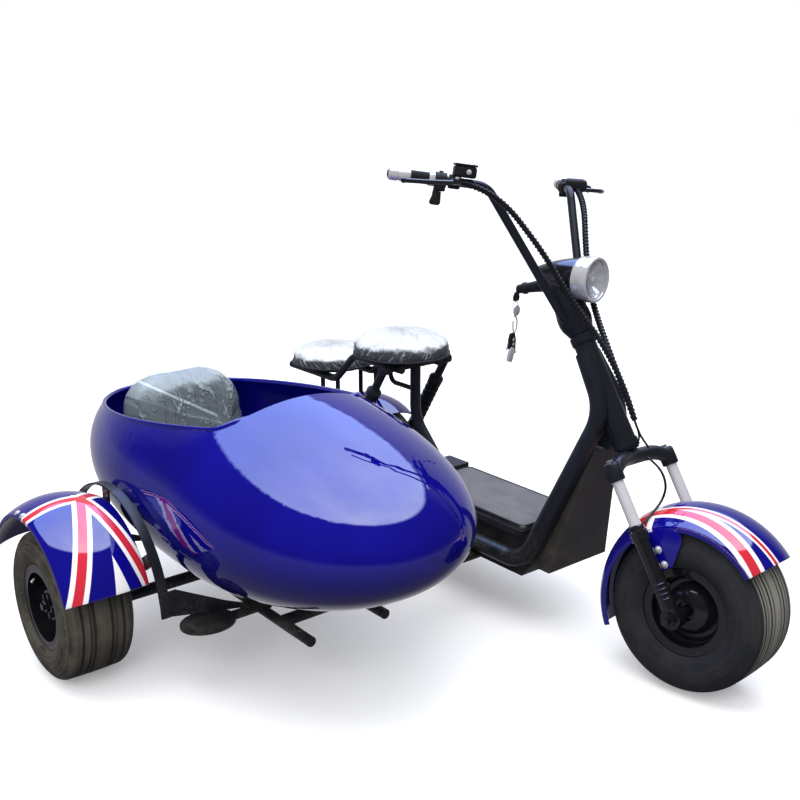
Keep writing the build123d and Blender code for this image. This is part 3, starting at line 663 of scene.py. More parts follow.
class Palette:
    """Finishes of the vehicle."""

    FRAME = Coating("satin_black_frame", (0.013, 0.015, 0.020), rough=0.34, coat=0.2, grain=0.00015,
                    grain_scale=700.0)
    ALLOY = Coating("gloss_black_alloy", (0.009, 0.009, 0.011), rough=0.18, coat=1.0, uneven=0.03, dust=0.0,
                    shine=0.6)
    PLASTIC = Coating("black_moulded_plastic", (0.014, 0.014, 0.015), rough=0.48, grain=0.0003,
                      grain_scale=900.0)
    # Black panel paint whose grey-brown tone is a painted reflection of the sandy ground.
    SHIELD = Coating("black_panel_painted_ground_reflection", (0.050, 0.046, 0.043), rough=0.32, coat=0.2)
    RUBBER = Coating("soft_black_rubber", (0.012, 0.012, 0.012), rough=0.66, grain=0.0003, grain_scale=600.0)
    MAT = Coating("grey_rubber_mat", (0.135, 0.135, 0.140), rough=0.62, grain=0.0004, grain_scale=420.0,
                  dust=0.6)
    CHROME = Coating("bright_chrome", (0.80, 0.80, 0.82), rough=0.10, metal=0.55, uneven=0.05, dust=0.0,
                     shade=0.96, shine=0.6)
    STEEL = Coating("zinc_steel", (0.44, 0.44, 0.45), rough=0.30, metal=0.7, uneven=0.2, dust=0.2)
    SILVER = Coating("silver_fork_tube", (0.78, 0.79, 0.81), rough=0.18, metal=0.35, uneven=0.06, dust=0.0,
                     shade=0.93, shine=0.6)
    HIDE = Hide("black_seat_leather")
    # Seat films are whitened where they face up, a painted sky sheen; the backrest film also carries a
    # painted highlight line along its ridge.
    DRIVER_WRAP = Wrap("driver_seat_film", (0.190, 0.0, 0.69), slant=-11.0, painted_sheen=0.95, haze=0.04)
    PASSENGER_WRAP = Wrap("passenger_seat_film", (-0.200, 0.0, 0.58), slant=13.0, painted_sheen=0.95, haze=0.04)
    BACK_WRAP = Wrap("backrest_film", (0.05, -0.80, 0.56), painted_sheen=0.35, haze=0.20, upright=True,
                     tint=(0.50, 0.60, 0.66), ridge_highlight=(0.047, 0.042))
    CABLE = Coating("black_cable_sleeve", (0.010, 0.010, 0.011), rough=0.34, coat=0.2, dust=0.1)
    REFLECTOR = Coating("pressed_reflector", (0.82, 0.83, 0.88), rough=0.14, metal=0.50, uneven=0.05,
                        dust=0.0, shade=0.9)
    LENS = Glaze("clear_lamp_lens", (0.94, 0.96, 0.98), alpha=0.07, rough=0.03, ribs=0.0006)
    RED_LENS = Glaze("red_lamp_lens", (0.45, 0.006, 0.008), alpha=0.92, rough=0.10, ribs=0.0006)
    BLUE = Gloss("deep_blue_lacquer")
    FRONT_BANDS = BandedGloss(
        "front_guard_bands", offset=-0.058, rays=(
            Ray(1.0, -0.10, 0.0105, 0.0215), Ray(1.0, 0.06, 0.0050, 0.0115), Ray(0.0, -1.0, 0.021, 0.042),
            Ray(0.0, 1.0, 0.021, 0.042)))
    SIDE_BANDS = BandedGloss(
        "side_guard_bands", offset=0.036, rays=(Ray(1.0, -0.385), Ray(1.0, 0.242), Ray(-0.05, -1.0),
                                                Ray(-0.055, 0.072)),
        wedge=(0.215, -0.006, 0.20))
    # The faint blue in the front and rear sidewall colours is a painted sheen of the sky on the black rubber.
    FRONT_TYRE = TyreRubber(
        "front_tyre_rubber", "front_wheel_spin", LAYOUT.tyre_radius, side=(0.017, 0.019, 0.025),
        tread=(0.36, 0.345, 0.29), mud=DUST, soil=0.08)
    REAR_TYRE = TyreRubber(
        "rear_tyre_rubber", "rear_wheel_spin", LAYOUT.tyre_radius, side=(0.016, 0.017, 0.021),
        tread=(0.16, 0.155, 0.14), mud=DUST, soil=0.22, grooves=WIDE_GROOVES)
    SIDE_TYRE = TyreRubber(
        "side_tyre_rubber", "sidecar_wheel_spin", LAYOUT.side_tyre_radius, side=(0.026, 0.025, 0.022),
        tread=(0.085, 0.080, 0.066), mud=(0.19, 0.17, 0.13), soil=0.75, grooves=WIDE_GROOVES)


CAD_FINISHES: dict[str, Finish] = {
    **dict.fromkeys((
        "head_tube", "frame_rails", "neck_gusset", "seat_frame", "swingarm", "sidecar_frame", "fender_arch",
        "step_plate", "handlebar", "bar_clamp", "lamp_post", "fork_crown", "steering_stem", "footboard",
        "rear_shocks"), Palette.FRAME),
    **dict.fromkeys((
        "front_rim", "rear_hub_motor", "sidecar_rim", "fork_sliders", "front_axle", "sidecar_axle",
        "front_caliper", "rear_caliper", "brake_levers", "headlamp_shell"), Palette.ALLOY),
    **dict.fromkeys((
        "battery_case", "seat_box", "seat_pans", "dash_pod", "switch_blocks", "brake_perches", "cable_looms"),
        Palette.PLASTIC),
    "leg_shield": Palette.SHIELD,
    "foot_mat": Palette.MAT,
    **dict.fromkeys(("grips", "pod_mounts"), Palette.RUBBER),
    **dict.fromkeys(("headlamp_ring", "bar_ends"), Palette.CHROME),
    "fork_stanchions": Palette.SILVER,
    **dict.fromkeys(("front_disc", "rear_disc", "rear_axle", "key_set"), Palette.STEEL),
    "headlamp_lens": Palette.LENS,
    "tail_lamp": Palette.RED_LENS,
    **dict.fromkeys(("sidecar_tub", "sidecar_hood", "rear_fender", "front_fender", "sidecar_fender"),
                    Palette.BLUE),
    "front_tyre": Palette.FRONT_TYRE,
    "rear_tyre": Palette.REAR_TYRE,
    "sidecar_tyre": Palette.SIDE_TYRE,
    **dict.fromkeys(("driver_seat", "passenger_seat", "sidecar_cushion", "sidecar_backrest"), Palette.HIDE),
}


def dress_frame() -> None:
    """Gives every carried-over CAD node its finish."""
    for name, node in frame["nodes"].items():
        node.data.materials.clear()
        node.data.materials.append(CAD_FINISHES[name].material())
        node.data.shade_smooth()
        node.data.set_sharp_from_angle(angle=math.radians(28))


SIDES = (1.0, -1.0)
IDENTITY = Matrix.Identity(4)
AXLE_TURN = Matrix.Rotation(math.pi / 2, 4, "X")


def bar_matrix(start: Vector, end: Vector) -> Matrix:
    """Frame at a start point whose z points at an end point."""
    return Matrix.Translation(start) @ (end - start).to_track_quat("Z", "Y").to_matrix().to_4x4()


def circle(radius: float, count: int) -> list[Vector]:
    """Points evenly round a circle in the plane of x and y."""
    turns = (math.tau * step / count for step in range(count))
    return [Vector((math.cos(turn), math.sin(turn), 0.0)) * radius for turn in turns]


def line_length(line: Sequence[Vector]) -> float:
    """Length of a run of points."""
    return sum((end - start).length for start, end in zip(line, line[1:]))


def smooth_curve(name: str, points: Sequence[Vector], radius: float = 0.0, closed: bool = False,
                 fineness: int = 12, kind: str = "NURBS") -> bpy.types.Curve:
    """Makes a curve along control points.

    Args:
        name: Name of the curve.
        points: Its control points in order.
        radius: Radius of the round bar along it, or 0 for a bare line.
        closed: Whether its end meets its start.
        fineness: Points of the line between two control points.
        kind: Type of its spline.

    Returns:
        The curve.
    """
    curve = bpy.data.curves.new(name, "CURVE")
    curve.dimensions = "3D"
    curve.resolution_u = fineness
    curve.bevel_depth = radius
    curve.bevel_resolution = 3
    curve.use_fill_caps = radius > 0.0
    spline = curve.splines.new(kind)
    spline.points.add(len(points) - 1)
    for point, place in zip(spline.points, points):
        point.co = (*place, 1.0)
    spline.use_cyclic_u = closed
    if kind == "NURBS":
        spline.order_u = 3
        spline.use_endpoint_u = not closed
    return curve


def curve_mesh(curve: bpy.types.Curve) -> bpy.types.Mesh:
    """Mesh of a curve, which is removed."""
    holder = bpy.data.objects.new(curve.name, curve)
    mesh = bpy.data.meshes.new_from_object(holder)
    bpy.data.objects.remove(holder)
    bpy.data.curves.remove(curve)
    return mesh


def line_points(points: Sequence[Vector], fineness: int = 12) -> list[Vector]:
    """Points along the smooth line of some control points."""
    mesh = curve_mesh(smooth_curve("line", points, fineness=fineness))
    places = [vertex.co.copy() for vertex in mesh.vertices]
    bpy.data.meshes.remove(mesh)
    return places


class Form:
    """A mesh in the making, to which shapes are added one by one."""

    def __init__(self) -> None:
        """Starts with nothing."""
        self.mesh = bmesh.new()
        self.mesh.loops.layers.uv.new("UVMap")

    def add(self, part: bmesh.types.BMesh, place: Matrix = IDENTITY,
            chart: Optional[Callable[[Vector], Pair]] = None) -> "Form":
        """Adds a finished shape.

        Args:
            part: The shape, which is used up.
            place: Frame that it is set in.
            chart: Gives the UV pair of a point of the shape before it is set in its frame.

        Returns:
            This form.
        """
        layer = part.loops.layers.uv.get("UVMap") or part.loops.layers.uv.new("UVMap")
        if chart is not None:
            for face in part.faces:
                for loop in face.loops:
                    loop[layer].uv = chart(loop.vert.co)
        part.transform(place)
        bmesh.ops.recalc_face_normals(part, faces=part.faces)
        store = bpy.data.meshes.new("shape")
        part.to_mesh(store)
        part.free()
        self.mesh.from_mesh(store)
        bpy.data.meshes.remove(store)
        return self

    def lathe(self, outline: Sequence[Pair], place: Matrix = IDENTITY, steps: int = 40, start: float = 0.0,
              sweep: float = 2 * math.pi, chart: Optional[Callable[[Vector], Pair]] = None,
              edge: float = 0.0) -> "Form":
        """Turns an outline about z.

        Args:
            outline: Points of (radius, height), closed where the last repeats the first.
            place: Frame that the shape is set in.
            steps: Faces around the turn.
            start: Angle at which the turn begins.
            sweep: Angle that it covers.
            chart: Gives UV pairs, as for add.
            edge: Width of the bevel on sharp edges.

        Returns:
            This form.
        """
        part = bmesh.new()
        closed = outline[0] == outline[-1]
        points = outline[:-1] if closed else outline
        corners = [part.verts.new((radius, 0.0, height)) for radius, height in points]
        runs = list(zip(corners, corners[1:] + (corners[:1] if closed else [])))
        sides = [part.edges.new(run) for run in runs]
        bmesh.ops.rotate(part, verts=corners, matrix=Matrix.Rotation(start, 3, "Z"))
        full = sweep > 2 * math.pi - 1e-6
        bmesh.ops.spin(
            part, geom=corners + sides, axis=(0, 0, 1), angle=sweep, steps=steps, use_merge=full)
        bmesh.ops.remove_doubles(part, verts=part.verts, dist=1e-6)
        if closed and not full:
            bmesh.ops.holes_fill(part, edges=[side for side in part.edges if side.is_boundary])
        bmesh.ops.recalc_face_normals(part, faces=part.faces)
        if edge:
            self._soften(part, edge)
        return self.add(part, place, chart)

    @staticmethod
    def _soften(part: bmesh.types.BMesh, width: float, segments: int = 2) -> None:
        """Bevels a shape's sharp edges."""
        sharp = [side for side in part.edges if side.calc_face_angle(0.0) > math.radians(40)]
        bmesh.ops.bevel(
            part, geom=sharp, offset=width, segments=segments, profile=0.5, affect="EDGES", material=-1)

    def block(self, size: Triple, place: Matrix = IDENTITY, edge: float = 0.002, segments: int = 2,
              taper: float = 1.0) -> "Form":
        """Adds a block with softened edges.

        Args:
            size: Its sides.
            place: Frame of its middle.
            edge: Width of its bevels.
            segments: Steps of each bevel.
            taper: Size of its top against its bottom.

        Returns:
            This form.
        """
        part = bmesh.new()
        bmesh.ops.create_cube(part, size=1.0)
        bmesh.ops.scale(part, vec=size, verts=part.verts)
        top = [corner for corner in part.verts if corner.co.z > 0]
        bmesh.ops.scale(part, vec=(taper, taper, 1.0), verts=top)
        self._soften(part, edge, segments)
        return self.add(part, place)

    def plate(self, outline: Sequence[Pair], depth: float, place: Matrix = IDENTITY,
              edge: float = 0.001) -> "Form":
        """Adds a flat plate from an outline.

        Args:
            outline: Corners of (x, y) in order.
            depth: Thickness along z.
            place: Frame that it is set in.
            edge: Width of its bevels.

        Returns:
            This form.
        """
        part = bmesh.new()
        face = part.faces.new([part.verts.new((x, y, 0.0)) for x, y in outline])
        raised = bmesh.ops.extrude_face_region(part, geom=[face])["geom"]
        moved = [item for item in raised if isinstance(item, bmesh.types.BMVert)]
        bmesh.ops.translate(part, vec=(0, 0, depth), verts=moved)
        bmesh.ops.recalc_face_normals(part, faces=part.faces)
        self._soften(part, edge)
        return self.add(part, place)

    def rod(self, start: Vector, end: Vector, radius: float, steps: int = 20, edge: float = 0.001) -> "Form":
        """Adds a straight round bar with softened ends."""
        length = (end - start).length
        outline = [(0.0, 0.0), (radius, 0.0), (radius, length), (0.0, length)]
        return self.lathe(outline, bar_matrix(start, end), steps, edge=edge)

    def pipe(self, points: Sequence[Vector], radius: float, closed: bool = False, fineness: int = 8,
             kind: str = "NURBS") -> "Form":
        """Adds a round bar along a smooth line."""
        made = curve_mesh(smooth_curve("pipe", points, radius, closed, fineness, kind))
        self.mesh.from_mesh(made)
        bpy.data.meshes.remove(made)
        return self

    def dome(self, place: Matrix, radius: float = 0.008, height: float = 0.006) -> "Form":
        """Adds a round-headed bolt on its washer, standing along z."""
        self.lathe([(0.0, 0.0), (radius * 1.35, 0.0), (radius * 1.35, height * 0.22), (0.0, height * 0.22)],
                   place, 24, edge=height * 0.06)
        head = [(radius * math.cos(turn), height * (0.2 + 0.8 * math.sin(turn)))
                for turn in (math.radians(angle) for angle in (0, 18, 36, 54, 72, 90))]
        return self.lathe([*head[:-1], (0.0, height)], place, 24)

    def hexagon(self, place: Matrix, across: float, height: float) -> "Form":
        """Adds a six-sided nut or bolt head standing along z."""
        part = bmesh.new()
        radius = across / math.sqrt(3)
        bmesh.ops.create_cone(part, cap_ends=True, segments=6, radius1=radius, radius2=radius, depth=height)
        self._soften(part, across * 0.05)
        return self.add(part, place @ shift(0, 0, height / 2))

    def object(self, name: str, finish: Finish, body: Body, slot: str, replaces: Sequence[str] = (),
               sharp: float = 35.0) -> bpy.types.Object:
        """Turns the form into a piece of the vehicle.

        Args:
            name: Name of the piece.
            finish: Its finish.
            body: CAD body that it rides on.
            slot: The record's material slot; not used.
            replaces: CAD nodes that it stands for.
            sharp: Angle in degrees above which an edge stays sharp.

        Returns:
            The piece.
        """
        mesh = bpy.data.meshes.new(name)
        self.mesh.to_mesh(mesh)
        self.mesh.free()
        mesh.materials.append(finish.material())
        mesh.shade_smooth()
        mesh.set_sharp_from_angle(angle=math.radians(sharp))
        return set_piece(bpy.data.objects.new(name, mesh), body, replaces)


def set_piece(piece: bpy.types.Object, body: Body,
              replaces: Sequence[str] = ()) -> bpy.types.Object:
    """Links a piece that isn't linked yet and lets it ride on its body.

    Args:
        piece: The piece, in place.
        body: CAD body that it rides on.
        replaces: CAD nodes that it stands for.

    Returns:
        The piece.
    """
    if piece.name not in bpy.context.scene.collection.objects:
        bpy.context.scene.collection.objects.link(piece)
    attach(piece, body.value)
    if replaces:
        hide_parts(*replaces)
    LOG.info("%s rides on %s", piece.name, body.value)
    return piece


OFF_BANDS: Pair = (-2.0, -3.0)


@dataclass
class Guard:
    """Crowned mudguard with turned-down lips and bands that cross on its crown."""

    name: str
    node: str
    body: Body
    place: Matrix
    finish: Finish
    radius: float
    half: float
    drop: float
    start: float
    stop: float
    crossing: float
    wall: float = 0.004
    lip: float = 0.010
    plain_lip: bool = False

    @property
    def bow(self) -> float:
        """Radius of the arc across the crown."""
        return (self.half ** 2 + self.drop ** 2) / (2 * self.drop)

    def skin(self, across: float) -> float:
        """Distance of the crown's skin from the wheel's centre, at a distance from its middle."""
        return self.radius - self.bow + math.sqrt(max(0.0, self.bow ** 2 - across ** 2))

    def outline(self) -> list[Pair]:
        """Closed outline of (radius, height) across the guard."""
        stations = [self.half * step / 9 for step in range(-9, 10)]
        top = [(self.skin(y), y) for y in stations]
        under = [(radius - self.wall, y * 0.97) for radius, y in reversed(top)]
        low = self.radius - self.drop - self.lip
        far = [(low, self.half + 0.0010), (low, self.half - 0.0025)]
        near = [(radius, -y) for radius, y in reversed(far)]
        return [*top, *far, *under, *near, top[0]]

    def chart(self, point: Vector) -> Pair:
        """Metres along the guard from the crossing, and across it; the underside is clear of the bands."""
        angle = math.atan2(point.y, point.x) % math.tau
        out = math.hypot(point.x, point.y)
        inside = abs(point.z) < self.half - 0.004 and out < self.skin(point.z) - self.wall * 0.6
        lip = self.plain_lip and out < self.radius - self.drop - 0.002 and angle < math.radians(100)
        if inside or lip:
            return OFF_BANDS
        return (math.radians(self.crossing) - angle) * self.radius, -point.z

    def build(self) -> bpy.types.Object:
        """Makes the guard."""
        start = math.radians(self.start)
        sweep = math.radians(self.stop) - start
        form = Form().lathe(self.outline(), self.place, 72, start, sweep, self.chart, edge=0.0012)
        return form.object(self.name, self.finish, self.body, "blue_gloss", [self.node], 40.0)

    def spot(self, angle: float, across: float, lift: float = 0.0) -> Matrix:
        """Frame on the guard's skin, its z standing away from it.

        Args:
            angle: Degrees up from forward.
            across: Metres to the left of the middle.
            lift: Metres above the skin.

        Returns:
            The frame.
        """
        bow = self.bow
        lean = math.asin(across / bow)
        out = bow * math.cos(lean) + self.radius - bow + lift * math.cos(lean)
        turn = Matrix.Rotation(math.radians(angle), 4, "Z")
        seat = shift(out, 0.0, -across - lift * math.sin(lean))
        return self.place @ turn @ seat @ Matrix.Rotation(math.pi / 2 + lean, 4, "Y")


@dataclass
class Mudguards:
    """Painted guards of the front and sidecar wheels, with their flanges and bolts."""

    front_place: Matrix = field(
        default_factory=lambda: LAYOUT.turn_matrix @ shift(LAYOUT.wheelbase, 0.0, 0.2172) @ AXLE_TURN)
    side_place: Matrix = field(
        default_factory=lambda: LAYOUT.wheel_matrix("sidecar_wheel_spin") @ AXLE_TURN)
    leg_offset: float = 0.021
    flange_out: float = 0.1155

    def build(self) -> None:
        """Makes both guards and their fittings."""
        front = Guard("front_guard", "front_fender", Body.STEERING, self.front_place, Palette.FRONT_BANDS,
                      radius=0.270, half=0.114, drop=0.042, start=42.0, stop=206.0, crossing=126.5, lip=0.015,
                      plain_lip=True)
        side = Guard("sidecar_guard", "sidecar_fender", Body.CHASSIS, self.side_place, Palette.SIDE_BANDS,
                     radius=0.288, half=0.112, drop=0.030, start=22.0, stop=158.0, crossing=85.0)
        front.build()
        side.build()
        self.flanges()
        bolts = Form()
        for angle in (92.0, 100.0):
            bolts.dome(side.spot(angle, -0.106, 0.0005), 0.0065, 0.005)
        bolts.object("sidecar_guard_bolts", Palette.CHROME, Body.CHASSIS, "chrome")

    def flanges(self) -> None:
        """Makes the front guard's side flanges and the bolts that hold them to the fork."""
        steer = LAYOUT.steer_matrix
        plates, bolts = Form(), Form()
        edge = [(-0.024, 0.122), (-0.023, 0.206), (-0.012, 0.222), (0.060, 0.214), (0.096, 0.188),
                (0.090, 0.168), (0.044, 0.122), (0.036, 0.118), (-0.012, 0.116)]
        for side in SIDES:
            skin = steer @ on_edge(Vector((self.leg_offset, self.flange_out * side, 0)))
            plates.plate(edge, 0.004, skin @ shift(0, 0, -0.002), 0.001)
            for height in (0.130, 0.170):
                out = steer @ shift(self.leg_offset + 0.020, (self.flange_out + 0.002) * side, height)
                bolts.dome(out @ Matrix.Rotation(-math.pi / 2 * side, 4, "X"), 0.0075, 0.007)
        plates.object("front_guard_flanges", Palette.BLUE, Body.STEERING, "blue_gloss")
        bolts.object("front_guard_bolts", Palette.CHROME, Body.STEERING, "chrome")


@dataclass
class GripFrame:
    """Frames of the handlebar's two grips: z out along the bar, x ahead of it, y down."""

    bar_end: Triple = (0.589, 0.388, 1.254)
    elbow: Triple = (0.756, 0.201, 1.240)

    def place(self, side: float) -> Matrix:
        """Frame at one bar end, turned to rest; the right one is mirrored.

        Args:
            side: 1 for the left, -1 for the right.

        Returns:
            The frame.
        """
        end = Vector(self.bar_end)
        out = (end - Vector(self.elbow)).normalized()
        ahead = Vector((out.y, -out.x, 0.0)).normalized()
        local = axes_matrix(ahead, out.cross(ahead), out, end)
        return LAYOUT.turn_matrix @ Matrix.Diagonal((1.0, side, 1.0, 1.0)) @ local


@dataclass
class Controls:
    """Grips, bar-end caps, switch housings, lever perches with their reservoirs, and levers."""

    frame: GripFrame = field(default_factory=GripFrame)
    bar_radius: float = 0.012
    grip_radius: float = 0.0165
    switch_at: float = -0.125
    perch_at: float = -0.162
    reservoir_at: float = -0.184
    left_reach: float = 0.070

    def build(self) -> None:
        """Makes every control on both sides."""
        rubber, chrome, black, housing, levers = Form(), Form(), Form(), Form(), Form()
        for side in SIDES:
            place = self.frame.place(side)
            self.grip(rubber, chrome, place)
            self.switch(housing, chrome, place)
            self.perch(black, chrome, place, side)
            self.lever(levers, place, side)
            if side < 0:
                self.thumb_lever(housing, place)
            else:
                self.knob(housing, place)
        rubber.object("grip_rubbers", Palette.RUBBER, Body.STEERING, "rubber", ["grips"])
        chrome.object("bar_brightwork", Palette.CHROME, Body.STEERING, "chrome", ["bar_ends"])
        housing.object("switch_housings", Palette.PLASTIC, Body.STEERING, "black_plastic", ["switch_blocks"])
        black.object("lever_perches", Palette.PLASTIC, Body.STEERING, "black_alloy", ["brake_perches"])
        levers.object("lever_blades", Palette.ALLOY, Body.STEERING, "black_alloy", ["brake_levers"])

    def grip(self, rubber: Form, chrome: Form, place: Matrix) -> None:
        """Adds one grip: a bright cap with a black tip, a bright sleeve and the ribbed rubber."""
        radius = self.grip_radius
        chrome.lathe([(0.0, 0.0165), (0.0125, 0.0165), (0.0165, 0.0125), (0.0172, 0.004), (0.0172, -0.008),
                      (0.0155, -0.010), (0.0155, -0.013), (0.0166, -0.015), (0.0170, -0.040),
                      (0.0158, -0.043), (self.bar_radius, -0.043)],
                     place, 40)
        rubber.lathe([(0.0, 0.0195), (0.007, 0.0190), (0.0105, 0.0168), (0.0105, 0.015), (0.0, 0.015)], place,
                     28)
        outline = [(self.bar_radius, -0.0432), (radius - 0.001, -0.0432)]
        for ring in range(8):
            low = -0.0450 - 0.0056 * ring
            outline += [(radius, low), (radius, low - 0.0034), (radius - 0.0016, low - 0.0040),
                        (radius - 0.0016, low - 0.0052)]
        rubber.lathe([*outline, (radius + 0.0008, -0.0905), (radius + 0.0008, -0.0925),
                      (self.bar_radius, -0.0925)],
                     place, 40)
        chrome.lathe([(self.bar_radius, -0.0927), (0.0180, -0.0927), (0.0192, -0.0950), (0.0192, -0.1060),
                      (0.0180, -0.1085), (self.bar_radius, -0.1085)], place, 40)

    def switch(self, housing: Form, chrome: Form, place: Matrix) -> None:
        """Adds a split housing round the bar, with its screws and a rocker."""
        housing.lathe([(self.bar_radius, -0.1088), (0.0188, -0.1088), (0.0205, -0.1105), (0.0205, -0.1225),
                       (0.0192, -0.1235), (0.0192, -0.1245), (0.0205, -0.1255), (0.0205, -0.1385),
                       (0.0190, -0.1400), (self.bar_radius, -0.1400)],
                      place, 36)
        housing.block((0.034, 0.020, 0.026), place @ shift(0.002, 0.019, self.switch_at), 0.004, 3, 0.9)
        housing.block((0.012, 0.006, 0.010), place @ shift(-0.004, -0.0215, self.switch_at), 0.0015)
        for across in (-0.011, 0.013):
            chrome.dome(place @ shift(across, 0.0289, self.switch_at) @ Matrix.Rotation(-math.pi / 2, 4, "X"),
                        0.0024, 0.0018)

    def perch(self, black: Form, chrome: Form, place: Matrix, side: float) -> None:
        """Adds a lever perch with clamp and pivot; the right one has a reservoir, the left a low body."""
        black.lathe([(self.bar_radius, -0.1470), (0.0175, -0.1470), (0.0190, -0.1490), (0.0190, -0.1750),
                     (0.0175, -0.1770), (self.bar_radius, -0.1770)], place, 32)
        arm = [(-0.004, -0.013), (0.030, -0.013), (0.050, -0.011), (0.056, 0.000), (0.050, 0.011),
               (0.030, 0.013), (-0.004, 0.013)]
        black.plate(arm, 0.018, place @ on_edge(Vector((0.0, 0.009, self.perch_at))), 0.003)
        if side < 0:
            black.block((0.044, 0.030, 0.060), place @ shift(0.014, -0.029, self.reservoir_at), 0.007, 3)
            black.block((0.045, 0.006, 0.061), place @ shift(0.014, -0.0470, self.reservoir_at), 0.0028, 3)
            for spot in ((0.001, -0.164), (0.027, -0.204)):
                chrome.dome(place @ shift(spot[0], -0.0499, spot[1]) @ AXLE_TURN, 0.0030, 0.0022)
            chrome.dome(place @ shift(0.0362, -0.030, -0.192) @ Matrix.Rotation(math.pi / 2, 4, "Y"), 0.005,
                        0.003)
        else:
            black.block((0.066, 0.036, 0.050), place @ shift(0.026, -0.012, -0.170), 0.012, 4)
        chrome.hexagon(place @ shift(0.0456, -0.0088, self.perch_at) @ AXLE_TURN, 0.010, 0.005)
        clamp = (place @ Vector((-0.016, across, self.perch_at)) for across in (0.012, -0.014))
        black.rod(*clamp, 0.005)

    def lever(self, levers: Form, place: Matrix, side: float) -> None:
        """Adds a lever blade that sweeps ahead of the grip to a ball end; the left one stands further off."""
        reach = self.left_reach if side > 0 else 0.0
        line = [place @ Vector(point) for point in (
            (0.046, 0.000, -0.166), (0.060 + reach * 0.3, 0.002, -0.148),
            (0.068 + reach * 0.7, 0.005, -0.115), (0.066 + reach * 0.9, 0.009, -0.070),
            (0.060 + reach, 0.012, -0.024))]
        levers.pipe(line, 0.0064)
        levers.lathe([(0.0, 0.008), (0.0045, 0.0066), (0.0072, 0.0035), (0.0080, 0.0), (0.0072, -0.0035),
                      (0.0045, -0.0066), (0.0, -0.008)], place @ shift(0.060 + reach, 0.012, -0.020), 24)
        levers.block((0.022, 0.013, 0.030), place @ shift(0.050, 0.0, -0.158), 0.003)

    def thumb_lever(self, housing: Form, place: Matrix) -> None:
        """Adds the throttle's thumb paddle, which hangs below the right grip."""
        paddle = [(-0.010, 0.000), (0.010, 0.000), (0.013, 0.026), (0.019, 0.044), (0.014, 0.050),
                  (-0.008, 0.050), (-0.012, 0.044)]
        turn = axes_matrix(Vector((0, 0, 1)), Vector((0.15, 0.985, 0.0)), Vector((-0.985, 0.15, 0.0)),
                           Vector((0.012, 0.016, -0.118)))
        housing.plate(paddle, 0.010, place @ turn, 0.003)

    def knob(self, housing: Form, place: Matrix) -> None:
        """Adds the round knob beside the left perch."""
        base = place @ Vector((0.052, -0.004, -0.150))
        tip = place @ Vector((0.074, 0.000, -0.136))
        housing.rod(base, tip, 0.011, 28, 0.002)


@dataclass
class Headlamp:
    """Round lamp: bulb-shaped shell, bright ring, faceted reflector and a clear lens."""

    centre: Triple = (1.000, 0.0, 1.013)

    @property
    def place(self) -> Matrix:
        """Frame of the lamp's mouth at rest, its z ahead."""
        return LAYOUT.turn_matrix @ facing_ahead(Vector(self.centre))

    def build(self) -> None:
        """Makes the ring, reflector, bulb and lens; the CAD shell stays."""
        place = self.place
        ring = Form().lathe([(0.0520, -0.0210), (0.0568, -0.0440), (0.0592, -0.0446), (0.0606, -0.0420),
                             (0.0614, -0.0300), (0.0610, -0.0240), (0.0624, -0.0200), (0.0631, -0.0120),
                             (0.0631, -0.0040), (0.0622, 0.0020), (0.0592, 0.0048), (0.0560, 0.0046),
                             (0.0532, 0.0020), (0.0524, -0.0030), (0.0520, -0.0210)],
                            place, 72)
        ring.object("lamp_ring", Palette.CHROME, Body.STEERING, "chrome", ["headlamp_ring"], 60.0)
        steps = [(0.0515, -0.0040)]
        for radius, depth in ((0.0455, 0.0090), (0.0385, 0.0130), (0.0315, 0.0170), (0.0245, 0.0210),
                              (0.0175, 0.0250)):
            steps += [(radius, -depth - 0.0030), (radius - 0.0012, -depth + 0.0026)]
        bowl = Form().lathe([*steps, (0.0100, -0.0290), (0.0, -0.0295)], place, 24)
        bowl.object("lamp_reflector", Palette.REFLECTOR, Body.STEERING, "chrome", sharp=8.0)
        bulb = Form().lathe([(0.0, -0.0060), (0.0050, -0.0066), (0.0085, -0.0090), (0.0092, -0.0130),
                             (0.0072, -0.0150), (0.0072, -0.0290), (0.0, -0.0290)], place, 28)
        bulb.object("lamp_bulb", Palette.SILVER, Body.STEERING, "chrome")
        lens = Form().lathe([(0.0, 0.0070), (0.0100, 0.0068), (0.0220, 0.0060), (0.0340, 0.0044),
                             (0.0440, 0.0022), (0.0510, -0.0004), (0.0515, -0.0020), (0.0500, -0.0024),
                             (0.0430, 0.0000), (0.0330, 0.0022), (0.0210, 0.0038), (0.0100, 0.0046),
                             (0.0, 0.0048)], place, 64)
        lens.object("lamp_lens", Palette.LENS, Body.STEERING, "lens", ["headlamp_lens"], 50.0)


